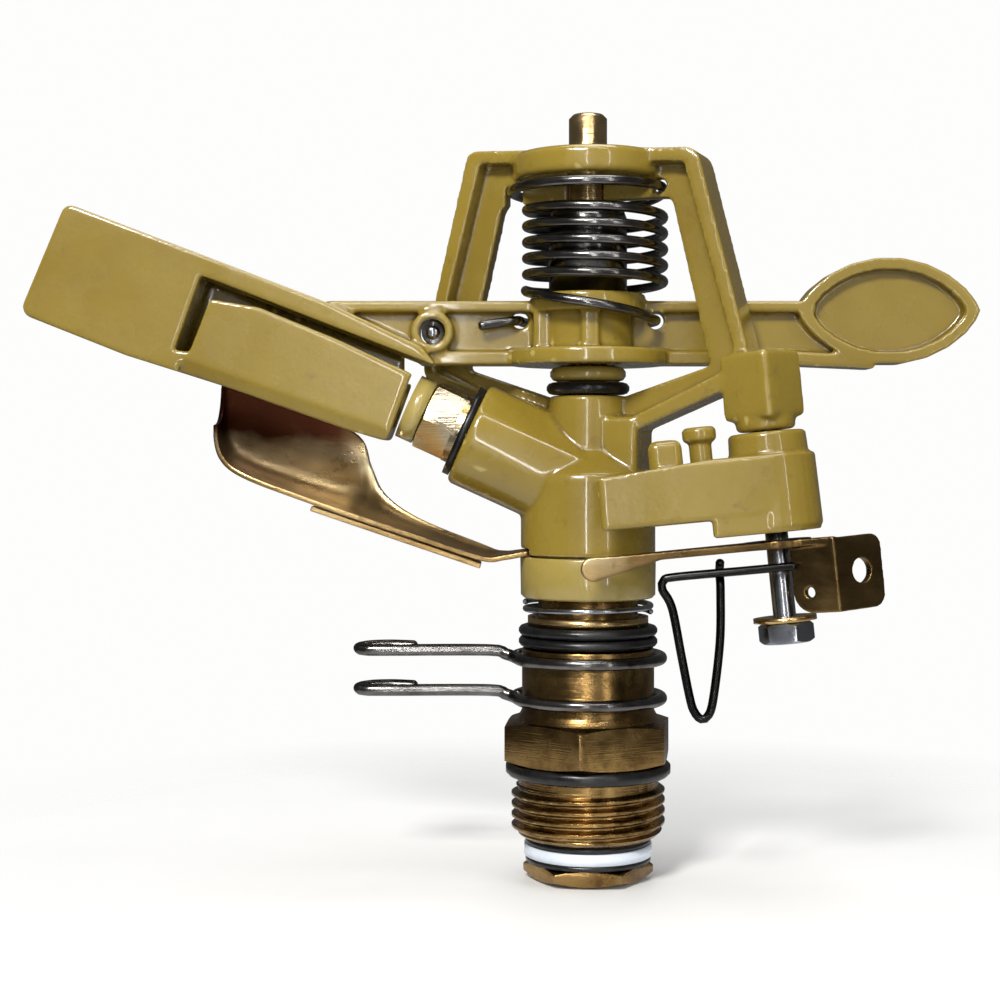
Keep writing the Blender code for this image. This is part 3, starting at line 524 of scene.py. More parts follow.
def rounded(corners):
    """A closed outline from (x, y, radius) corners, with an arc at each corner that has a radius."""
    outline = []
    count = len(corners)
    for i, (x, y, radius) in enumerate(corners):
        here = Vector((x, y))
        if not radius:
            outline.append(here)
            continue
        back = (Vector(corners[i - 1][:2]) - here).normalized()
        on = (Vector(corners[(i + 1) % count][:2]) - here).normalized()
        half = back.angle(on) / 2
        centre = here + (back + on).normalized() * radius / math.sin(half)
        start = here + back * radius / math.tan(half) - centre
        end = here + on * radius / math.tan(half) - centre
        sweep = start.angle_signed(end)
        for step in range(ARC_STEPS + 1):
            turn = Matrix.Rotation(-sweep * step / ARC_STEPS, 2)
            outline.append(centre + turn @ start)
    return outline


def circle(x, y, radius, steps):
    """A round outline, for a hole in a plate."""
    angles = [2 * math.pi * step / steps for step in range(steps)]
    return [Vector((x + radius * math.cos(a), y + radius * math.sin(a))) for a in angles]


def lens(centre, half_length, half_height):
    """An outline between an ellipse and a pointed lens."""
    steps = 22
    outline = []
    for step in range(steps):
        a = 2 * math.pi * step / steps
        up = math.copysign(abs(math.sin(a)) ** 1.4, math.sin(a))
        outline.append(Vector((centre[0] + half_length * math.cos(a), centre[1] + half_height * up)))
    return outline


def mesh_of(curve):
    """The mesh that a curve stands for."""
    drawn = bpy.data.objects.new(curve.name, curve)
    CUTTERS.objects.link(drawn)
    graph = bpy.context.evaluated_depsgraph_get()
    mesh = bpy.data.meshes.new_from_object(drawn.evaluated_get(graph))
    bpy.data.objects.remove(drawn, do_unlink=True)
    return mesh


def plate(name, outlines, low, high, matrix):
    """A flat piece between two depths along its frame's Z. Outlines after the first are holes."""
    curve = bpy.data.curves.new(name, "CURVE")
    curve.dimensions = "2D"
    curve.fill_mode = "BOTH"
    curve.extrude = (high - low) / 2
    for outline in outlines:
        spline = curve.splines.new("POLY")
        spline.points.add(len(outline) - 1)
        for point, (x, y) in zip(spline.points, outline):
            point.co = (x, y, 0, 1)
        spline.use_cyclic_u = True
    mesh = mesh_of(curve)
    mesh.transform(Matrix.Scale(MM, 4) @ shift(0, 0, (low + high) / 2 / MM))
    whole = bmesh.new()
    whole.from_mesh(mesh)
    bmesh.ops.remove_doubles(whole, verts=whole.verts, dist=1e-7)
    bmesh.ops.recalc_face_normals(whole, faces=whole.faces)
    whole.to_mesh(mesh)
    whole.free()
    return place(name, mesh, matrix)


def hexagon(name, flats, low, high, turn, matrix=HERE, drop=0.8):
    """A spanner hex whose corners are turned down at both ends."""
    corner = flats / math.sqrt(3)
    mesh = bpy.data.meshes.new(name)
    prism = bmesh.new()
    centre = shift(0, 0, (low + high) / 2) @ about_z(turn)
    size = {"radius1": corner * MM, "radius2": corner * MM, "depth": (high - low) * MM}
    bmesh.ops.create_cone(prism, cap_ends=True, segments=6, matrix=centre, **size)
    prism.to_mesh(mesh)
    prism.free()
    obj = place(name, mesh, matrix)
    inner = flats / 2 - 0.15
    outer = corner + 0.1
    profile = [(0, high + 0.01), (inner, high + 0.01), (outer, high - drop)]
    profile += [(outer, low + drop), (inner, low - 0.01), (0, low - 0.01)]
    boolean(obj, "INTERSECT", turned(name + "_corners", profile, matrix))
    return obj


def boolean(target, operation, *others):
    """Combines the target with other objects."""
    for other in others:
        made = target.modifiers.new(other.name, "BOOLEAN")
        made.operation = operation
        made.object = other


def join(target, *others):
    boolean(target, "UNION", *others)


def cut(target, *others):
    boolean(target, "DIFFERENCE", *others)


def flowing(points, steps=None):
    """A smooth curve through the points, in equal steps between each two or in short ones."""
    p = [Vector(q) for q in points]
    p = [p[0] * 2 - p[1], *p, p[-1] * 2 - p[-2]]
    out = []
    for a, b, c, d in zip(p, p[1:], p[2:], p[3:]):
        bend = 2 * a - 5 * b + 4 * c - d
        twist = 3 * b - a - 3 * c + d
        count = steps or max(1, round((c - b).length / WIRE_SPACING))
        for step in range(count):
            t = step / count
            out.append(0.5 * (2 * b + (c - a) * t + bend * t**2 + twist * t**3))
    return [*out, p[-2]]


def wire(name, points, radius, matrix, material):
    """A round wire along a smooth curve, with rounded ends."""
    path = flowing(points)
    tip_back = (path[0] - path[1]).normalized()
    tip_on = (path[-1] - path[-2]).normalized()
    radii = [1.0] * len(path)
    for thin in (0.86, 0.5):
        path = [path[0] + tip_back * radius * 0.3, *path, path[-1] + tip_on * radius * 0.3]
        radii = [thin, *radii, thin]
    curve = bpy.data.curves.new(name, "CURVE")
    curve.dimensions = "3D"
    curve.bevel_depth = radius * MM
    curve.bevel_resolution = 5
    curve.use_fill_caps = True
    spline = curve.splines.new("POLY")
    spline.points.add(len(path) - 1)
    for point, spot, thick in zip(spline.points, path, radii):
        point.co = (*(spot * MM), 1)
        point.radius = thick
    mesh = mesh_of(curve)
    mesh.shade_smooth()
    return place(name, mesh, matrix, material)


def coil(name, radius, low, turns, per_turn, wire_radius, matrix, material):
    """A wire wound about Z from its low end up, drawn with per_turn points in each turn."""
    points = []
    for step in range(int(turns * per_turn) + 1):
        a = 2 * math.pi * step / per_turn
        points.append((radius * math.cos(a), radius * math.sin(a), low + COIL_PITCH * step / per_turn))
    return wire(name, points, wire_radius, matrix, material)


# Bearing and inlet


def thread_radius(height, turn):
    """The thread's radius at a height and a share of a turn: rounded crests, run out at both ends."""
    phase = ((height - THREAD_LOW) / THREAD_PITCH - turn) % 1.0
    crest = 0.5 + 0.5 * math.cos(2 * math.pi * phase)
    shape = min(1.0, max(0.0, crest * 1.35 - 0.12))
    top = THREAD_LOW + THREAD_PITCH * THREAD_TURNS
    start = min(1.0, max(0.0, (height - THREAD_LOW + 0.4) / 1.1))
    stop = min(1.0, max(0.0, (top + 0.9 - height) / 0.9))
    return THREAD_ROOT + (THREAD_RADIUS - THREAD_ROOT) * shape * start * stop


def threaded_pipe(name, material):
    """A pipe with a helical thread, built from rings of (radius, height) points."""
    around = 144
    rise = 0.1
    low = THREAD_LOW - 0.9
    top = WASHER_HIGH + 1.0
    foot = [(INLET_BORE, low), (THREAD_ROOT - 0.75, low), (THREAD_ROOT, low + 0.5)]
    head = [(THREAD_ROOT, top), (INLET_BORE, top)]
    rings = [[point] * around for point in foot]
    height = THREAD_LOW - 0.35
    while height < THREAD_LOW + THREAD_PITCH * THREAD_TURNS + 1.2:
        rings.append([(thread_radius(height, k / around), height) for k in range(around)])
        height += rise
    rings += [[point] * around for point in head]
    points = []
    for one in rings:
        for k, (radius, z) in enumerate(one):
            a = 2 * math.pi * k / around
            points.append((radius * math.cos(a) * MM, radius * math.sin(a) * MM, z * MM))
    faces = []
    count = len(rings)
    for i in range(count):
        up = (i + 1) % count
        for k in range(around):
            on = (k + 1) % around
            faces.append((i * around + k, i * around + on, up * around + on, up * around + k))
    mesh = bpy.data.meshes.new(name)
    mesh.from_pydata(points, [], faces)
    smooth(mesh)
    return place(name, mesh, HERE, material)


def inlet_nipple():
    """The sleeve, the spanner hex and a helical thread."""
    nipple = threaded_pipe("inlet_nipple", BRASS)
    profile = [
        (INLET_BORE, SLEEVE_TOP),
        (SLEEVE_RADIUS - 0.5, SLEEVE_TOP),
        (SLEEVE_RADIUS - 0.12, SLEEVE_TOP - 0.15),
        (SLEEVE_RADIUS, SLEEVE_TOP - 0.5),
        (SLEEVE_RADIUS, HEX_HIGH + 1.6),
        (SLEEVE_RADIUS + 0.35, HEX_HIGH + 0.9),
        (SLEEVE_RADIUS + 1.2, HEX_HIGH - 0.5),
        (INLET_BORE, HEX_HIGH - 0.5),
    ]
    sleeve = turned("inlet_sleeve", profile)
    spanner = hexagon("inlet_hex", HEX_FLATS, HEX_LOW, HEX_HIGH, 52.0)
    cut(spanner, rod("inlet_hex_bore", INLET_BORE + 0.4, HEX_LOW - 1, HEX_HIGH + 1))
    join(nipple, spanner, sleeve)


def inlet_washer():
    ring("inlet_washer", THREAD_ROOT + 0.2, 14.2, WASHER_LOW, WASHER_HIGH, HERE, RUBBER, 0.5)


def spindle_tube():
    """The turning tube, with a hex flange at its foot."""
    tube = ring("spindle_tube", WATERWAY, SPINDLE_RADIUS, 1.0, SPINDLE_TOP, HERE, BRASS)
    foot = hexagon("spindle_foot", FLANGE_FLATS, 0.0, FLANGE_HIGH, 27.0)
    cut(foot, rod("spindle_foot_bore", WATERWAY + 0.5, -1, FLANGE_HIGH + 1))
    join(tube, foot)
    cut(tube, rod("spindle_waterway", WATERWAY, -1, 5))


def bearing_stack():
    """The loose rings round the spindle tube, from the bottom up."""
    ring("spindle_washer_lower", TUBE_BORE, 10.8, 2.85, 3.65, HERE, RUBBER)
    ring("spindle_washer_ptfe", TUBE_BORE, 11.0, 3.8, 5.7, HERE, PTFE)
    ring("spindle_washer_upper", TUBE_BORE, 10.8, 5.85, 6.75, HERE, RUBBER)
    bead("dust_washer_lower", TUBE_BORE, 12.0, 39.6, 41.35, RUBBER)
    bead("dust_washer_upper", TUBE_BORE, 12.0, 41.5, 43.2, RUBBER)
    ring("thrust_ring", TUBE_BORE, 10.4, 43.35, 44.75, HERE, BRASS)
    coil("bearing_spring", 10.8, 45.45, 1.55, 18, 0.5, HERE, ZINC)


def bearing_housing():
    """The cup under the head casting's seam."""
    profile = [
        (10.2, SEAM_HEIGHT),
        (BODY_RADIUS - 0.1, SEAM_HEIGHT),
        (BODY_RADIUS + 0.1, SEAM_HEIGHT - 0.3),
        (BODY_RADIUS, BODY_LOW + 0.5),
        (BODY_RADIUS - 0.5, BODY_LOW),
        (TUBE_BORE, BODY_LOW),
        (TUBE_BORE, BODY_LOW + 1.5),
        (10.2, BODY_LOW + 1.5),
    ]
    turned("bearing_housing", profile, HERE, ENAMEL)


def friction_collar(level):
    """A wire ring round the sleeve with one leg led out as a handle and folded back at its tip."""
    height = COLLAR_HEIGHTS[level]
    side = -0.8
    handle = height + HANDLE_RISE
    start = math.pi + math.asin(-side / COLLAR_RADIUS)
    points = [
        (-HANDLE_REACH + HANDLE_FOLD, side + 2.6, handle + 0.4),
        (-HANDLE_REACH + 5.5, side + 2.9, handle + 0.5),
        (-HANDLE_REACH + 2.0, side + 2.3, handle + 0.45),
        (-HANDLE_REACH, side + 1.1, handle + 0.2),
        (-HANDLE_REACH + 1.4, side + 0.2, handle),
        (-HANDLE_REACH + 5.0, side, handle),
        (-COLLAR_RADIUS - 4.5, side, handle),
        (-COLLAR_RADIUS - 1.8, side - 0.2, handle - 0.6),
        (-COLLAR_RADIUS - 0.1, side - 1.0, height + 0.2),
    ]
    steps = 26
    for step in range(1, steps + 1):
        a = start + 0.12 + 2 * math.pi * 0.93 * step / steps
        points.append((COLLAR_RADIUS * math.cos(a), COLLAR_RADIUS * math.sin(a), height))
    wire("friction_collar_" + level, points, COLLAR_WIRE, HERE, SPRING_STEEL)


# Head casting


def head_casting():
    """The body, the column, the sloping barrel, the bridge over the arm and the trip's foot."""
    profile = [
        (0, COLUMN_TOP),
        (COLUMN_RADIUS - 0.4, COLUMN_TOP),
        (COLUMN_RADIUS, COLUMN_TOP - 0.4),
        (COLUMN_RADIUS, 73.5),
        (COLUMN_RADIUS + 1.2, 71.9),
        (BODY_RADIUS - 1.6, 70.4),
        (BODY_RADIUS - 0.3, 69.2),
        (BODY_RADIUS, SHOULDER),
        (BODY_RADIUS, SKIRT_LOW),
        (SKIRT_BORE, SKIRT_LOW),
        (SKIRT_BORE, CASTING_LOW),
        (9.95, CASTING_LOW),
        (9.95, BODY_LOW + 1.8),
        (TUBE_BORE, BODY_LOW + 1.8),
        (TUBE_BORE, SPINDLE_TOP + GAP),
        (WATERWAY, SPINDLE_TOP + GAP),
        (WATERWAY, 69.0),
        (0, 70.0),
    ]
    casting = turned("head_casting", profile, HERE, ENAMEL)
    barrel_profile = [
        (0, BARREL_END),
        (BARREL_RADIUS - 0.6, BARREL_END),
        (BARREL_RADIUS, BARREL_END - 0.6),
        (BARREL_RADIUS, 3.0),
        (0, 3.0),
    ]
    barrel = turned("barrel", barrel_profile, BARREL)
    tilt = about_z(-40.0)
    cut(barrel, block("barrel_flat", (BARREL_RADIUS - 0.75, -9, -5), (20, 9, 30), BARREL @ tilt))
    join(casting, barrel, *bridge_pieces(), *foot_pieces())
    cut(casting, rod("nozzle_relief", BARREL_RADIUS - 0.3, BARREL_END + 0.01, 38.0, BARREL))
    cut(casting, rod("barrel_bore", WATERWAY, 0.0, 30.0, BARREL))
    cut(casting, rod("pin_bore", PIN_BORE, 75.5, 140.0))
    cut(casting, rod("bolt_bore", BOLT_RADIUS + 0.25, -6.0, 8.6, PIVOT, BOLT_STEPS))
    spring_leg = BRIDGE @ shift(SPRING_HOLE, SPRING_HOLE_Z, 0)
    cut(casting, rod("spring_hole", 1.3, -6.0, 6.0, spring_leg, HOLE_STEPS))
    notch = block("spring_notch", (-14.7, 114.5, -4), (-11.6, 119.4, 4), BRIDGE)
    cut(casting, notch, block("strip_notch", (-14.0, -5.1, 54.5), (-9.9, 5.2, CASTING_LOW)))


def bridge_outline(inset):
    """The bridge's outer line, from the right foot round to the left foot, moved inwards."""
    foot = LEG_FOOT - inset
    top = LEG_TOP - inset
    low = 84.8 + inset
    corners = [
        (foot, 90.5, 0),
        (top, BRIDGE_TOP - BRIDGE_SLOPE - inset, max(3.0 - inset, 0.4)),
        (-top, BRIDGE_TOP + BRIDGE_SLOPE - inset, max(2.0 - inset, 0.4)),
        (-foot, 90.5, 0),
        (-foot, low, 0),
        (-4, 74.2 + inset, 0),
        (4, 74.2 + inset, 0),
        (foot, low, 0),
    ]
    return rounded(corners)


def bridge_window():
    """The opening in the bridge's web, where the arm swings."""
    corners = [
        (22.0, 87.5, 0.6),
        (15.3, 116.1, 1.5),
        (-15.3, 116.1, 1.5),
        (-22.0, 87.5, 0.6),
        (-6.0, 82.2, 0),
        (6.0, 82.2, 0),
    ]
    return rounded(corners)


def bridge_pieces():
    """A thin web inside a wide flange, with a round cap and a gusset."""
    half = BRIDGE_DEPTH / 2
    edges = [bridge_outline(0), bridge_outline(BRIDGE_FLANGE)]
    flange = plate("bridge_flange", edges, -half, half, BRIDGE)
    web_half = WEB_THICKNESS / 2
    web = plate("bridge_web", [bridge_outline(0.4), bridge_window()], -web_half, web_half, BRIDGE)
    cap = ring("bridge_cap", 1.0, 13.0, 119.7, 124.2, edge=0.7)
    gusset = block("strut_gusset", (-10.0, 62, -5.2), (10.2, 79.0, 5.2), BRIDGE, 0.8)
    return [flange, web, cap, gusset]


def foot_pieces():
    """The square block at the right foot, and the round seat under it for the trip lever."""
    half = 4.95
    foot = block("foot_block", (-half, -half, -0.6), (half, half, 10.6), PIVOT @ about_z(44.0), 0.9)
    seat = ring("foot_seat", 1.0, 4.9, -2.5, 0.4, PIVOT, edge=0.5)
    return [foot, seat]


def fulcrum_pin():
    chamfer = 0.7
    profile = [
        (0, PIN_TOP),
        (PIN_RADIUS - chamfer, PIN_TOP),
        (PIN_RADIUS, PIN_TOP - chamfer),
        (PIN_RADIUS, 76.0),
        (0, 76.0),
    ]
    turned("fulcrum_pin", profile, HERE, PALE_BRASS_AND_SHEEN, PIN_STEPS)


def column_rings():
    """The seal and the washer between the column and the arm."""
    bead("column_seal", PIN_BORE, 7.2, 82.9, 85.0, RUBBER)
    bead("arm_thrust_washer", PIN_BORE, 6.6, 85.15, 87.7, ENAMEL)


# Nozzle


def nozzle_pieces():
    """The nozzle in the barrel's end, its seal and the collar round its tip."""
    hex_low = BARREL_END + 1.45
    hex_high = hex_low + 6.6
    tip = hex_high + 3.3
    profile = [
        (2.5, tip),
        (4.4, tip),
        (4.4, hex_low + 1),
        (6.2, hex_low + 1),
        (6.2, 15.0),
        (5.0, 15.0),
        (2.5, 24.0),
    ]
    # The pale brass here is a painted highlight across the nozzle.
    body = turned("nozzle", profile, BARREL, PALE_BRASS_AND_SHEEN, PIN_STEPS)
    spanner = hexagon("nozzle_hex", 11.2, hex_low, hex_high, 51.0, BARREL, 0.4)
    cut(spanner, rod("nozzle_hex_bore", 4.0, hex_low - 1, hex_high + 1, BARREL, PIN_STEPS))
    join(body, spanner)
    ring("nozzle_seal", 6.5, 8.1, BARREL_END + 0.15, BARREL_END + 1.3, BARREL, RUBBER)
    ring("nozzle_collar", 4.6, 5.7, hex_high + 0.2, tip - 0.1, BARREL, ENAMEL)


# Deflector spoon below the arm


def deflector():
    """A sheet lofted between unlike sections: a flat strip that opens into a trough."""
    stations = [
        # front edge x, y, z, then back edge x, y, z
        ((-10.4, -4.4, 55.75), (-10.4, 4.4, 55.75)),
        ((-14.5, -4.5, 55.0), (-14.5, 4.6, 55.6)),
        ((-18.5, -4.6, 54.9), (-18.5, 5.0, 57.0)),
        ((-29.5, -5.2, 58.5), (-29.5, 6.2, 61.4)),
        ((-36.0, -5.6, 60.7), (-35.5, 7.6, 65.6)),
        ((-39.5, -5.8, 61.9), (-38.0, 8.6, 70.5)),
        ((-43.0, -6.0, 63.1), (-40.3, 9.0, 76.0)),
        ((-50.0, -6.0, 65.6), (-50.0, 9.2, 81.0)),
        ((-56.5, -5.8, 68.0), (-57.5, 9.2, 84.2)),
        ((-60.6, -5.1, 70.0), (-61.5, 9.1, 85.3)),
        ((-62.9, -3.6, 72.2), (-63.4, 9.0, 85.7)),
        ((-64.0, -1.7, 75.0), (-64.2, 8.8, 85.8)),
        ((-64.4, 0.4, 77.8), (-64.6, 8.6, 85.8)),
    ]
    stations = list(zip(*[flowing(edge, STATION_STEPS) for edge in zip(*stations)]))
    across = 24
    points = []
    for start, end in stations:
        corner = Vector(((start.x + end.x) / 2, end.y, start.z))
        for step in range(across + 1):
            t = step / across
            points.append((start.lerp(corner, t)).lerp(corner.lerp(end, t), t) * MM)
    row = across + 1
    faces = []
    for i in range(len(stations) - 1):
        for k in range(across):
            a = i * row + k
            faces.append((a, a + 1, a + row + 1, a + row))
    mesh = bpy.data.meshes.new("deflector_spoon")
    mesh.from_pydata(points, [], faces)
    smooth(mesh)
    spoon = place("deflector_spoon", mesh, HERE, SHEET_BRASS)
    shell = spoon.modifiers.new("Sheet", "SOLIDIFY")
    shell.thickness = 0.9 * MM
    shell.offset = 0.0
    clamp = ring("deflector_ring", 10.15, SKIRT_BORE - 0.15, SEAM_HEIGHT + 0.3, CASTING_LOW - 0.15)
    join(spoon, clamp)


def deflector_stay():
    """The straight strip spot-welded under the spoon."""
    rise = math.radians(18.8)
    frame = shift(-18.5, 0, 53.6) @ Matrix.Rotation(math.pi, 4, "Z") @ Matrix.Rotation(-rise, 4, "Y")
    block("deflector_stay", (0, -1.5, -0.45), (30.5, 5.2, 0.45), frame, 0.2, SHEET_BRASS)


# Trip mechanism, drawn in the pivot's own frame


def trip_lever():
    """The skirted hub, its long bar with a stop, and the floor between them."""
    top = -6.3
    low = -19.3
    profile = [
        (LEVER_BORE, -2.75),
        (5.9, -2.75),
        (6.4, -3.2),
        (6.55, top),
        (7.55, top - 0.5),
        (7.8, low + 0.9),
        (7.5, low + 0.7),
        (7.4, low),
        (LEVER_BORE, low),
    ]
    hub = turned("trip_lever", profile, PIVOT, ENAMEL, SLEEVE_STEPS)
    along = PIVOT @ shift(0, -5.75, 0) @ about_z(-2.5)  # the bar runs at a tangent from the hub
    bar = block("lever_bar", (-29.0, -1.9, -16.5), (0.5, 0.9, -6.5), along, 0.9)
    slope = along @ shift(-29.5, 0, -8.0) @ Matrix.Rotation(math.radians(-4.5), 4, "Y")
    cut(bar, block("lever_bar_top", (-5, -5, 0), (40, 5, 8), slope))
    skirt = block("lever_skirt", (-11.0, -1.75, low), (0.5, 0.85, -15.0), along, 0.5)
    outline = [(-1, -7.0), (-24, -4.2), (-24, -2.5), (-13, 1.5), (-1, 6.8)]
    floor = plate("lever_floor", [outline], -12.5, -9.8, PIVOT)
    stop_at = PIVOT @ shift(-11.2, -0.6, 0)
    stem = rod("lever_stop_stem", 1.9, -12.0, -2.0, stop_at, HOLE_STEPS)
    stop = ring("lever_stop", 0.0, 2.8, -3.4, -0.9, stop_at, edge=0.5)
    post = block("lever_post", (-20.0, -3.6, -12.0), (-14.4, -0.6, -2.6), PIVOT, 1.4)
    join(hub, bar, skirt, floor, stem, stop, post)
    cut(hub, rod("lever_recess", 6.0, -22.0, -13.2, PIVOT, PIN_STEPS))
    cut(hub, rod("lever_bore", LEVER_BORE, -25.0, 2.0, PIVOT, BOLT_STEPS))


def trip_spring():
    coil("trip_spring", 4.6, -18.2, 3.6, 11, 0.45, PIVOT, SPRING_STEEL)


BRACKET_BEND = Vector((7.8, -7.2))
BRACKET_LOW = -32.9
BRACKET_HIGH = -20.9
SHEET = 1.4


def trip_cam():
    """Brass plate: a hub on the bolt, a strip with a turned-down tongue, and a bent bracket."""
    top = -20.6
    low = top - SHEET
    hub = ring("trip_cam", LEVER_BORE, 5.6, low, top, PIVOT, SHEET_BRASS)
    front = [(3, -5.3, 0), (-29.5, -5.3, 0), (-32.0, -3.6, 0.8)]
    back = [(-30.5, -1.4, 1), (-3, 3.5, 0), (3, 3, 0)]
    strip = plate("cam_strip", [rounded(front + back)], low + 0.05, top - 0.05, PIVOT)
    tongue_frame = PIVOT @ shift(0, -4.7, 0) @ FRONT
    corners = [(-20.0, top - 0.2, 0), (-33.0, top + 0.1, 2.0), (-33.0, -25.1, 2.2), (-20.0, low, 0)]
    tongue = plate("cam_tongue", [rounded(corners)], -0.6, 0.6, tongue_frame)
    join(hub, strip, tongue, *bracket_pieces(), cam_link(low, top))
    cut(hub, rod("cam_bore", LEVER_BORE, -30.0, -15.0, PIVOT, BOLT_STEPS))


def cam_link(low, top):
    """Joins the strip to the top of the bracket, in front of the bolt."""
    outline = [(-2, -5.0), (-1, -1.5), (4.0, -3.2), (8.4, -6.4), (7.6, -7.8), (3.0, -5.6)]
    return plate("cam_link", [outline], low + 0.1, top - 0.1, PIVOT)


def bracket_pieces():
    """Two facets of bent sheet, each drawn upright from the bend line."""
    right_angle = 33.0
    left_angle = 144.0
    height = BRACKET_HIGH - BRACKET_LOW
    right = rounded([(-0.4, 0, 0), (9.9, 0, 2.4), (9.9, height, 2.0), (-0.4, height, 0)])
    hole = circle(5.2, height * 0.52, 2.05, 16)
    left = rounded([(-0.4, 0, 0), (7.6, 0, 3.5), (7.6, height, 1.5), (-0.4, height, 0)])
    small_hole = circle(4.6, 3.4, 0.9, 10)
    base = PIVOT @ shift(BRACKET_BEND.x, BRACKET_BEND.y, BRACKET_LOW)
    half = SHEET / 2
    return [
        plate("bracket_right", [right, hole], -half, half, base @ standing(right_angle)),
        plate("bracket_left", [left, small_hole], -half, half, base @ standing(left_angle)),
        rod("bracket_bend", half * 1.02, 0.02, height - 0.02, base, HOLE_STEPS),
    ]


def trip_wire():
    """One wire: from the bracket along the strip, down and up in a V, and hooked over itself."""
    rod_height = -25.0
    points = [
        (1.6, -4.5, rod_height),
        (-6.0, -4.3, rod_height),
        (-17.6, -3.0, rod_height),
        (-19.5, -2.8, rod_height - 0.4),
        (-19.9, -2.7, rod_height - 1.8),
        (-18.6, -2.6, -30.0),
        (-17.8, -2.4, -38.0),
        (-17.2, -2.2, -44.0),
        (-16.7, -2.1, -46.9),
        (-15.6, -2.2, -48.5),
        (-14.3, -2.3, -47.9),
        (-13.2, -2.4, -44.9),
        (-11.3, -2.5, -36.0),
        (-10.4, -2.3, -28.0),
        (-10.2, -1.6, -25.6),
        (-10.1, -1.5, -24.4),
        (-10.0, -2.2, -23.3),
    ]
    wire("trip_wire", points, 0.72, PIVOT, BLACK_WIRE)


def pivot_bolt():
    """The bolt that the trip pieces turn on, with its head below."""
    end = 8.0
    low = -35.0
    chamfer = 0.4
    profile = [
        (0, end),
        (BOLT_RADIUS - chamfer, end),
        (BOLT_RADIUS, end - chamfer),
        (BOLT_RADIUS, low),
        (0, low),
    ]
    shank = turned("pivot_bolt", profile, PIVOT, ZINC, BOLT_STEPS)
    join(shank, hexagon("pivot_bolt_head", 8.0, -37.6, -34.2, 12.0, PIVOT, 0.6))


def bolt_washer():
    ring("bolt_washer", BOLT_RADIUS + 0.25, 5.2, -34.05, -33.25, PIVOT, BRASS)


# Arm


def arm():
    """The hub on the fulcrum pin, the beam, the paddle on its right and the vane on its left."""
    profile = [
        (3.0, 100.2),
        (9.6, 100.2),
        (9.9, 99.9),
        (9.9, ARM_TOP - 1.9),
        (HUB_RADIUS, ARM_TOP - 1.9),
        (HUB_RADIUS, ARM_LOW + 2.7),
        (HUB_FLANGE - 0.3, ARM_LOW + 2.7),
        (HUB_FLANGE, ARM_LOW + 2.4),
        (HUB_FLANGE, ARM_LOW + 0.3),
        (HUB_FLANGE - 0.3, ARM_LOW),
        (3.0, ARM_LOW),
    ]
    hub = turned("arm", profile, HERE, ENAMEL)
    join(hub, *arm_beam(), arm_paddle(), arm_vane())
    cut(hub, rod("hub_bore", 4.5, 80.0, 110.0))
    for name, x, z in (("web_hole_left", -11.7, 95.7), ("web_hole_right", 11.65, 95.6)):
        cut(hub, rod(name, 1.45, -5, 5, FRONT @ shift(x, z, 0), HOLE_STEPS))
    cut(hub, rod("boss_hole", 2.25, -8, 8, SCREW, BOLT_STEPS))


def arm_beam():
    """A web between two rails, stiffened at the hub, with a boss for the screw."""
    half = RAIL_DEPTH / 2
    web_half = ARM_WEB / 2
    outline = [(-47.0, 98.6), (-28.2, 88.4), (47.0, 88.2), (50.0, 97.0), (38.5, 98.6)]
    slope = FRONT @ shift(34.0, ARM_LOW + 1.2, 0) @ about_z(-2.5)
    return [
        plate("arm_web", [outline], -web_half, web_half, FRONT),
        block("arm_rail_low", (-29.0, -half, ARM_LOW), (36.0, half, ARM_LOW + ARM_RAIL), HERE, 0.4),
        block("arm_rail_top", (-45.0, -half, ARM_TOP - 1.95), (38.8, half, ARM_TOP), HERE, 0.4),
        block("hub_rib", (-1.5, -8.7, 89.0), (1.5, -5.0, 98.6), HERE, 0.5),
        block("hub_cheek", (-9.5, -4.0, 89.0), (-4.0, 4.0, 98.4), HERE, 0.5),
        rod("screw_boss", 3.6, -4.4, 4.4, SCREW, PIN_STEPS),
        block("paddle_rail", (0, -1.2, -half + 0.1), (15.0, 1.2, half - 0.1), slope, 0.4),
    ]


def arm_paddle():
    """A lens-shaped rim round a web that is thin from both sides."""
    centre = (51.4, 97.2)
    rim = plate("paddle", [lens(centre, 15.6, 9.2)], -3.4, 3.4, FRONT)
    for name, low, high in (("paddle_front", 1.0, 5.0), ("paddle_back", -5.0, -1.0)):
        cut(rim, plate(name, [lens(centre, 13.2, 7.2)], low, high, FRONT))
    return rim


def vane_outline():
    corners = [
        (-88.7, 115.2, 1.7),
        (-96.5, 96.5, 1.9),
        (-78.6, 89.4, 0),
        (-62.5, 84.3, 0),
        (-40.3, 76.5, 0),
        (-34.4, 74.8, 0.9),
        (-30.3, 86.0, 0),
        (-26.2, 87.95, 0),
        (-28.6, 90.9, 0),
        (-43.9, 98.1, 0),
    ]
    return rounded(corners)


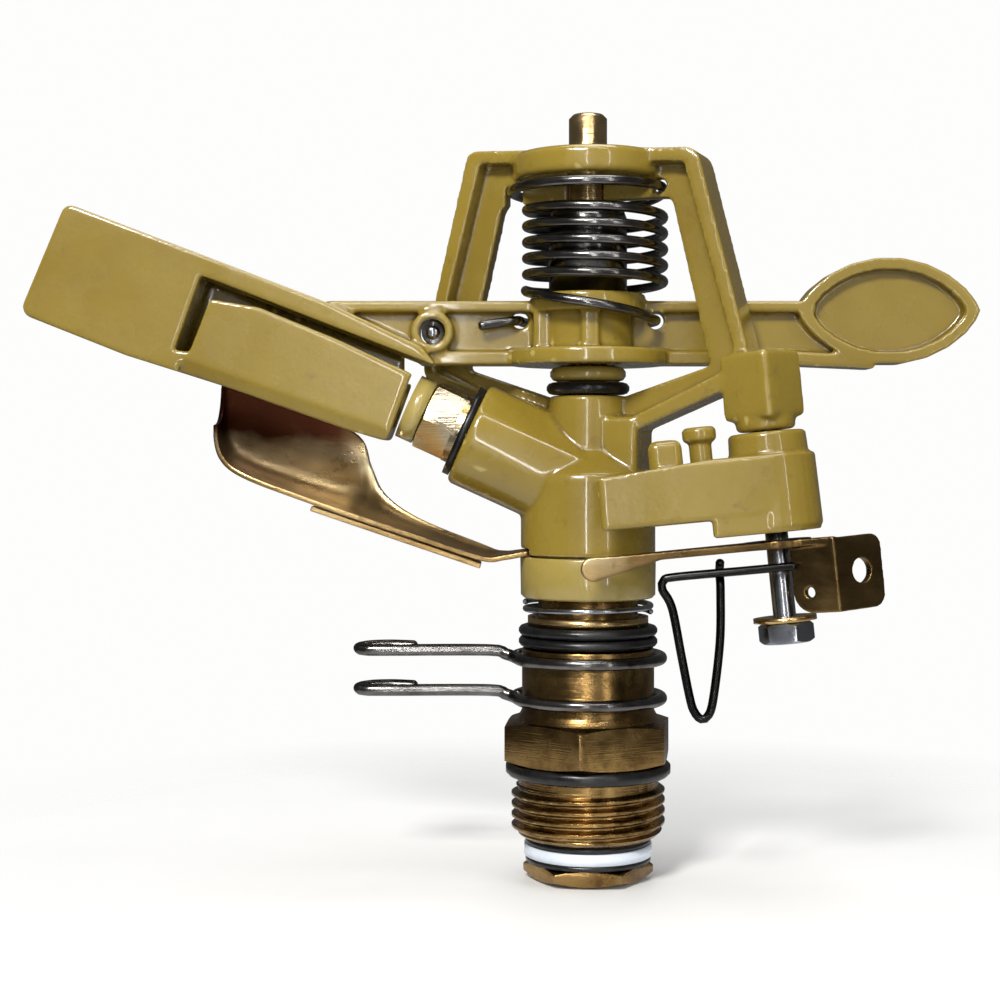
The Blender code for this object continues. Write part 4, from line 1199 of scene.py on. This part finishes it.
def arm_vane():
    """A thick vane, hollow inside: a slot opens its channel in front, its far end is open behind."""
    half = VANE_DEPTH / 2
    vane = plate("vane", [vane_outline()], -half, half, FRONT)
    channel = [
        (-66.0, 102.6),
        (-70.4, 89.7),
        (-61.9, 86.7),
        (-40.8, 79.3),
        (-28.0, 75.6),
        (-24.0, 86.4),
        (-36.0, 91.0),
    ]
    cut(vane, plate("vane_channel", [channel], -half + VANE_WALL, half - VANE_WALL, FRONT))
    box = [(-87.4, 112.2), (-93.1, 97.9), (-78.5, 92.1), (-73.4, 90.6), (-68.9, 104.8)]
    cut(vane, plate("vane_box", [box], -half - 1, half - VANE_WALL, FRONT))
    slot = [
        (-65.8, 102.8),
        (-62.8, 101.8),
        (-44.3, 94.6),
        (-24.0, 86.8),
        (-24.0, 83.9),
        (-30.0, 86.2),
        (-43.0, 92.2),
        (-56.0, 97.5),
        (-64.2, 98.9),
        (-67.7, 90.0),
        (-70.3, 90.2),
    ]
    cut(vane, plate("vane_slot", [slot], 2.0, half + 1, FRONT))
    cut(vane, block("bridge_relief", (-32.0, 85.0, -half - 1), (-20.0, 95.0, -RAIL_DEPTH / 2), FRONT))
    edge = FRONT @ shift(-66.8, 85.9, half) @ about_z(-19.4) @ shift(0, 2.2, 0)
    bevel = edge @ Matrix.Rotation(math.radians(28.6), 4, "X")
    cut(vane, block("vane_bevel", (-3.0, -6, 0), (36, 3, 5), bevel))
    return vane


def arm_screw():
    profile = [(0, 2.4), (0.8, 2.2), (1.15, 1.8), (1.2, 0.6), (1.95, 0.6), (1.95, -3.6), (0, -3.6)]
    turned("arm_screw", profile, SCREW, ZINC, BOLT_STEPS)


def arm_bushing():
    ring("arm_bushing", PIN_BORE, 4.3, 88.0, 100.0, HERE, BRASS)


def spring_sleeve():
    bore = PIN_RADIUS + 0.2
    profile = [
        (bore, 115.0),
        (5.2, 115.0),
        (6.3, 114.4),
        (6.75, 113.2),
        (6.75, 100.4),
        (bore, 100.4),
    ]
    turned("spring_sleeve", profile, HERE, SPRING_STEEL, SLEEVE_STEPS)


def arm_spring():
    """A torsion spring: its top leg goes through the bridge's web, its coils drop round the
    sleeve, and its bottom leg goes through the arm's web on both sides of the hub."""
    left = 180.0 - BRIDGE_TURN
    right = 360.0 - BRIDGE_TURN
    hole = SPRING_HOLE_Z
    # each stretch: azimuth, height and radius at its start and end, and its number of steps
    stretches = [
        ((left - 10, hole - 0.3, SPRING_HOLE), (right, hole, SPRING_HOLE), 10),
        ((right, hole, SPRING_HOLE), (left + 360, 114.9, SPRING_RADIUS), 10),
        ((left + 360, 114.9, SPRING_RADIUS), (180 + 6 * 360, 100.9, SPRING_RADIUS), 5 * 14),
        ((180 + 6 * 360, 100.9, SPRING_RADIUS), (335 + 6 * 360, 95.65, SPRING_RADIUS - 0.1), 9),
        ((335 + 6 * 360, 95.65, SPRING_RADIUS - 0.1), (178 + 7 * 360, 95.65, 11.7), 12),
    ]
    points = [azimuth_point(*stretches[0][0])]
    for start, end, steps in stretches:
        for step in range(1, steps + 1):
            t = step / steps
            points.append(azimuth_point(*[a + (b - a) * t for a, b in zip(start, end)]))
    points.append(Vector((-12.1, -1.2, 95.6)))
    points.append(Vector((-13.4, -2.4, 95.4)))
    points.append(Vector((-18.4, -3.3, 94.6)))
    return wire("arm_spring", points, SPRING_WIRE, HERE, SPRING_STEEL)


def azimuth_point(degrees, height, radius):
    """A point on the spring. Its free coils stand a little to the right of the pin."""
    a = math.radians(degrees)
    free = min(1.0, max(0.0, (height - 98.5) / 3.0)) * min(1.0, max(0.0, (117.5 - height) / 3.0))
    free = free * free * (3 - 2 * free)
    return Vector((radius * math.cos(a) + SPRING_OFFSET * free, radius * math.sin(a), height))


# Assembly


def settle(obj):
    """Applies an object's modifiers and its place, so that its mesh is final and in metres."""
    bpy.context.view_layer.update()
    graph = bpy.context.evaluated_depsgraph_get()
    mesh = bpy.data.meshes.new_from_object(obj.evaluated_get(graph))
    world = obj.matrix_world.copy()
    obj.modifiers.clear()
    obj.data = mesh
    mesh.transform(world)
    obj.matrix_world = Matrix()


def melt(obj, voxel, rounds):
    """Gives a joined solid the soft edges and fillets of a casting or a pressing."""
    remesh = obj.modifiers.new("Cast", "REMESH")
    remesh.mode = "VOXEL"
    remesh.voxel_size = voxel * MM
    ease = obj.modifiers.new("Ease", "SMOOTH")
    ease.factor = 0.5
    ease.iterations = rounds
    thin = obj.modifiers.new("Thin", "DECIMATE")
    thin.ratio = KEPT_SHARE
    settle(obj)
    obj.data.shade_smooth()


def break_edges(obj, width):
    """Breaks the sharp edges of a machined piece."""
    clean = bmesh.new()
    clean.from_mesh(obj.data)
    bmesh.ops.remove_doubles(clean, verts=clean.verts, dist=1e-6)
    bmesh.ops.dissolve_limit(clean, angle_limit=math.radians(1), verts=clean.verts, edges=clean.edges)
    clean.to_mesh(obj.data)
    clean.free()
    bevel = obj.modifiers.new("Edge", "BEVEL")
    bevel.width = width * MM
    bevel.segments = 2
    bevel.limit_method = "ANGLE"
    bevel.angle_limit = math.radians(28)
    settle(obj)
    smooth(obj.data)


def finish_piece(obj):
    """Makes a piece's mesh final, hides the node it replaces and puts it on the body it rides on."""
    node = obj.name.removesuffix("_look")
    settle(obj)
    if node in MELTED:
        melt(obj, *MELTED[node])
    elif node in EDGED:
        break_edges(obj, EDGED[node])
    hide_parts(node)
    for body, members in frame["record"]["behaviour"]["bodies"].items():
        if node in members and node != "arm_spring":
            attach(obj, body)


def build():
    inlet_nipple()
    inlet_washer()
    spindle_tube()
    bearing_stack()
    bearing_housing()
    head_casting()
    fulcrum_pin()
    column_rings()
    nozzle_pieces()
    deflector()
    deflector_stay()
    pivot_bolt()
    bolt_washer()
    for level in COLLAR_HEIGHTS:
        friction_collar(level)
    arm()
    arm_bushing()
    spring_sleeve()
    arm_screw()
    spring = arm_spring()
    trip_lever()
    trip_cam()
    trip_wire()
    trip_spring()
    for obj in list(PARTS.objects):
        finish_piece(obj)
    for obj in list(CUTTERS.objects):
        bpy.data.objects.remove(obj, do_unlink=True)
    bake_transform(spring)


build()


# Studio


def area_light(name, power, size, offset, colour=(1, 1, 1)):
    """A card of light that faces the middle of the sprinkler, sizes and offset in metres."""
    data = bpy.data.lights.new(name, "AREA")
    data.shape = "RECTANGLE"
    data.energy = power
    data.color = colour
    data.size, data.size_y = size
    light = bpy.data.objects.new(name, data)
    bpy.context.scene.collection.objects.link(light)
    light.location = MIDDLE + Vector(offset)
    light.rotation_euler = (MIDDLE - light.location).to_track_quat("-Z", "Y").to_euler()
    return light


def lights():
    """Three cards, fill lights that leave no glint, and strips that only draw glints."""
    area_light("key", 2.9, (0.12, 0.09), (-0.14, -0.42, 0.34), (1.0, 0.985, 0.95))
    area_light("front", 0.6, (1.0, 0.8), (0.0, -0.72, 0.03))
    area_light("top", 1.5, (0.35, 0.30), (0.05, 0.02, 0.55))
    fills = [
        area_light("soft", 0.62, (0.30, 0.30), (0.03, -0.62, 0.06)),
        area_light("fill", 0.9, (0.30, 0.30), (0.45, -0.30, 0.10)),
        area_light("side", 0.5, (0.30, 0.30), (-0.50, -0.16, 0.10)),
        area_light("back", 1.1, (0.40, 0.40), (0.10, 0.60, 0.25)),
    ]
    strips = [
        area_light("strip_left", 0.42, (0.010, 0.5), (-0.025, -0.42, 0.0)),
        area_light("strip_right", 0.3, (0.012, 0.5), (0.26, -0.42, 0.05)),
        area_light("strip_above", 0.9, (0.5, 0.016), (0.0, -0.34, 0.40)),
    ]
    for light in fills:
        light.visible_glossy = False
    for light in strips:
        light.visible_diffuse = False


def background():
    """White to the camera, and a dim grey room to everything else."""
    world = bpy.data.worlds.new("studio")
    bpy.context.scene.world = world
    world.use_nodes = True
    tree = world.node_tree
    room = tree.nodes["Background"]
    room.inputs["Color"].default_value = (0.09, 0.09, 0.088, 1)
    white = tree.nodes.new("ShaderNodeBackground")
    white.inputs["Color"].default_value = (0.985, 0.985, 0.98, 1)
    seen = tree.nodes.new("ShaderNodeLightPath")
    mix = tree.nodes.new("ShaderNodeMixShader")
    tree.links.new(seen.outputs["Is Camera Ray"], mix.inputs[0])
    tree.links.new(room.outputs[0], mix.inputs[1])
    tree.links.new(white.outputs[0], mix.inputs[2])
    tree.links.new(mix.outputs[0], tree.nodes["World Output"].inputs["Surface"])
    bpy.context.scene.view_settings.view_transform = "Standard"


def pale_floor():
    """A disc just below the inlet, which takes the shadow and fades out around it."""
    mesh = bpy.data.meshes.new("floor")
    disc = bmesh.new()
    bmesh.ops.create_circle(disc, cap_ends=True, segments=96, radius=0.6)
    disc.to_mesh(mesh)
    disc.free()
    floor = bpy.data.objects.new("floor", mesh)
    bpy.context.scene.collection.objects.link(floor)
    floor.location = (0, 0, CAD_BOX[0][2] - 0.0004)
    n = Nodes("pale_floor")
    tone = n.span(n.noise(30, 3), 0.3, 0.7)
    n.link(n.mix(tone, (0.90, 0.90, 0.895), (0.93, 0.93, 0.925)), "Base Color")
    n.set(Roughness=0.7, Specular_IOR_Level=0.2)
    distance = n.new("VectorMath")
    distance.operation = "LENGTH"
    n.join(n.where, distance.inputs[0])
    n.link(n.span(distance.outputs["Value"], 0.02, 0.16, 1.0, 0.0), "Alpha")
    mesh.materials.append(n.material)


def camera():
    """The photo's viewpoint: level, in front and a little to the left."""
    data = bpy.data.cameras.new("camera")
    data.sensor_width = 36
    data.lens = 64.8
    data.shift_y = -0.045
    eye = bpy.data.objects.new("camera", data)
    bpy.context.scene.collection.objects.link(eye)
    eye.location = (-0.0152, -0.311, 0.0725)
    eye.rotation_euler = (math.pi / 2, 0, 0)
    bpy.context.scene.camera = eye


lights()
background()
pale_floor()
camera()
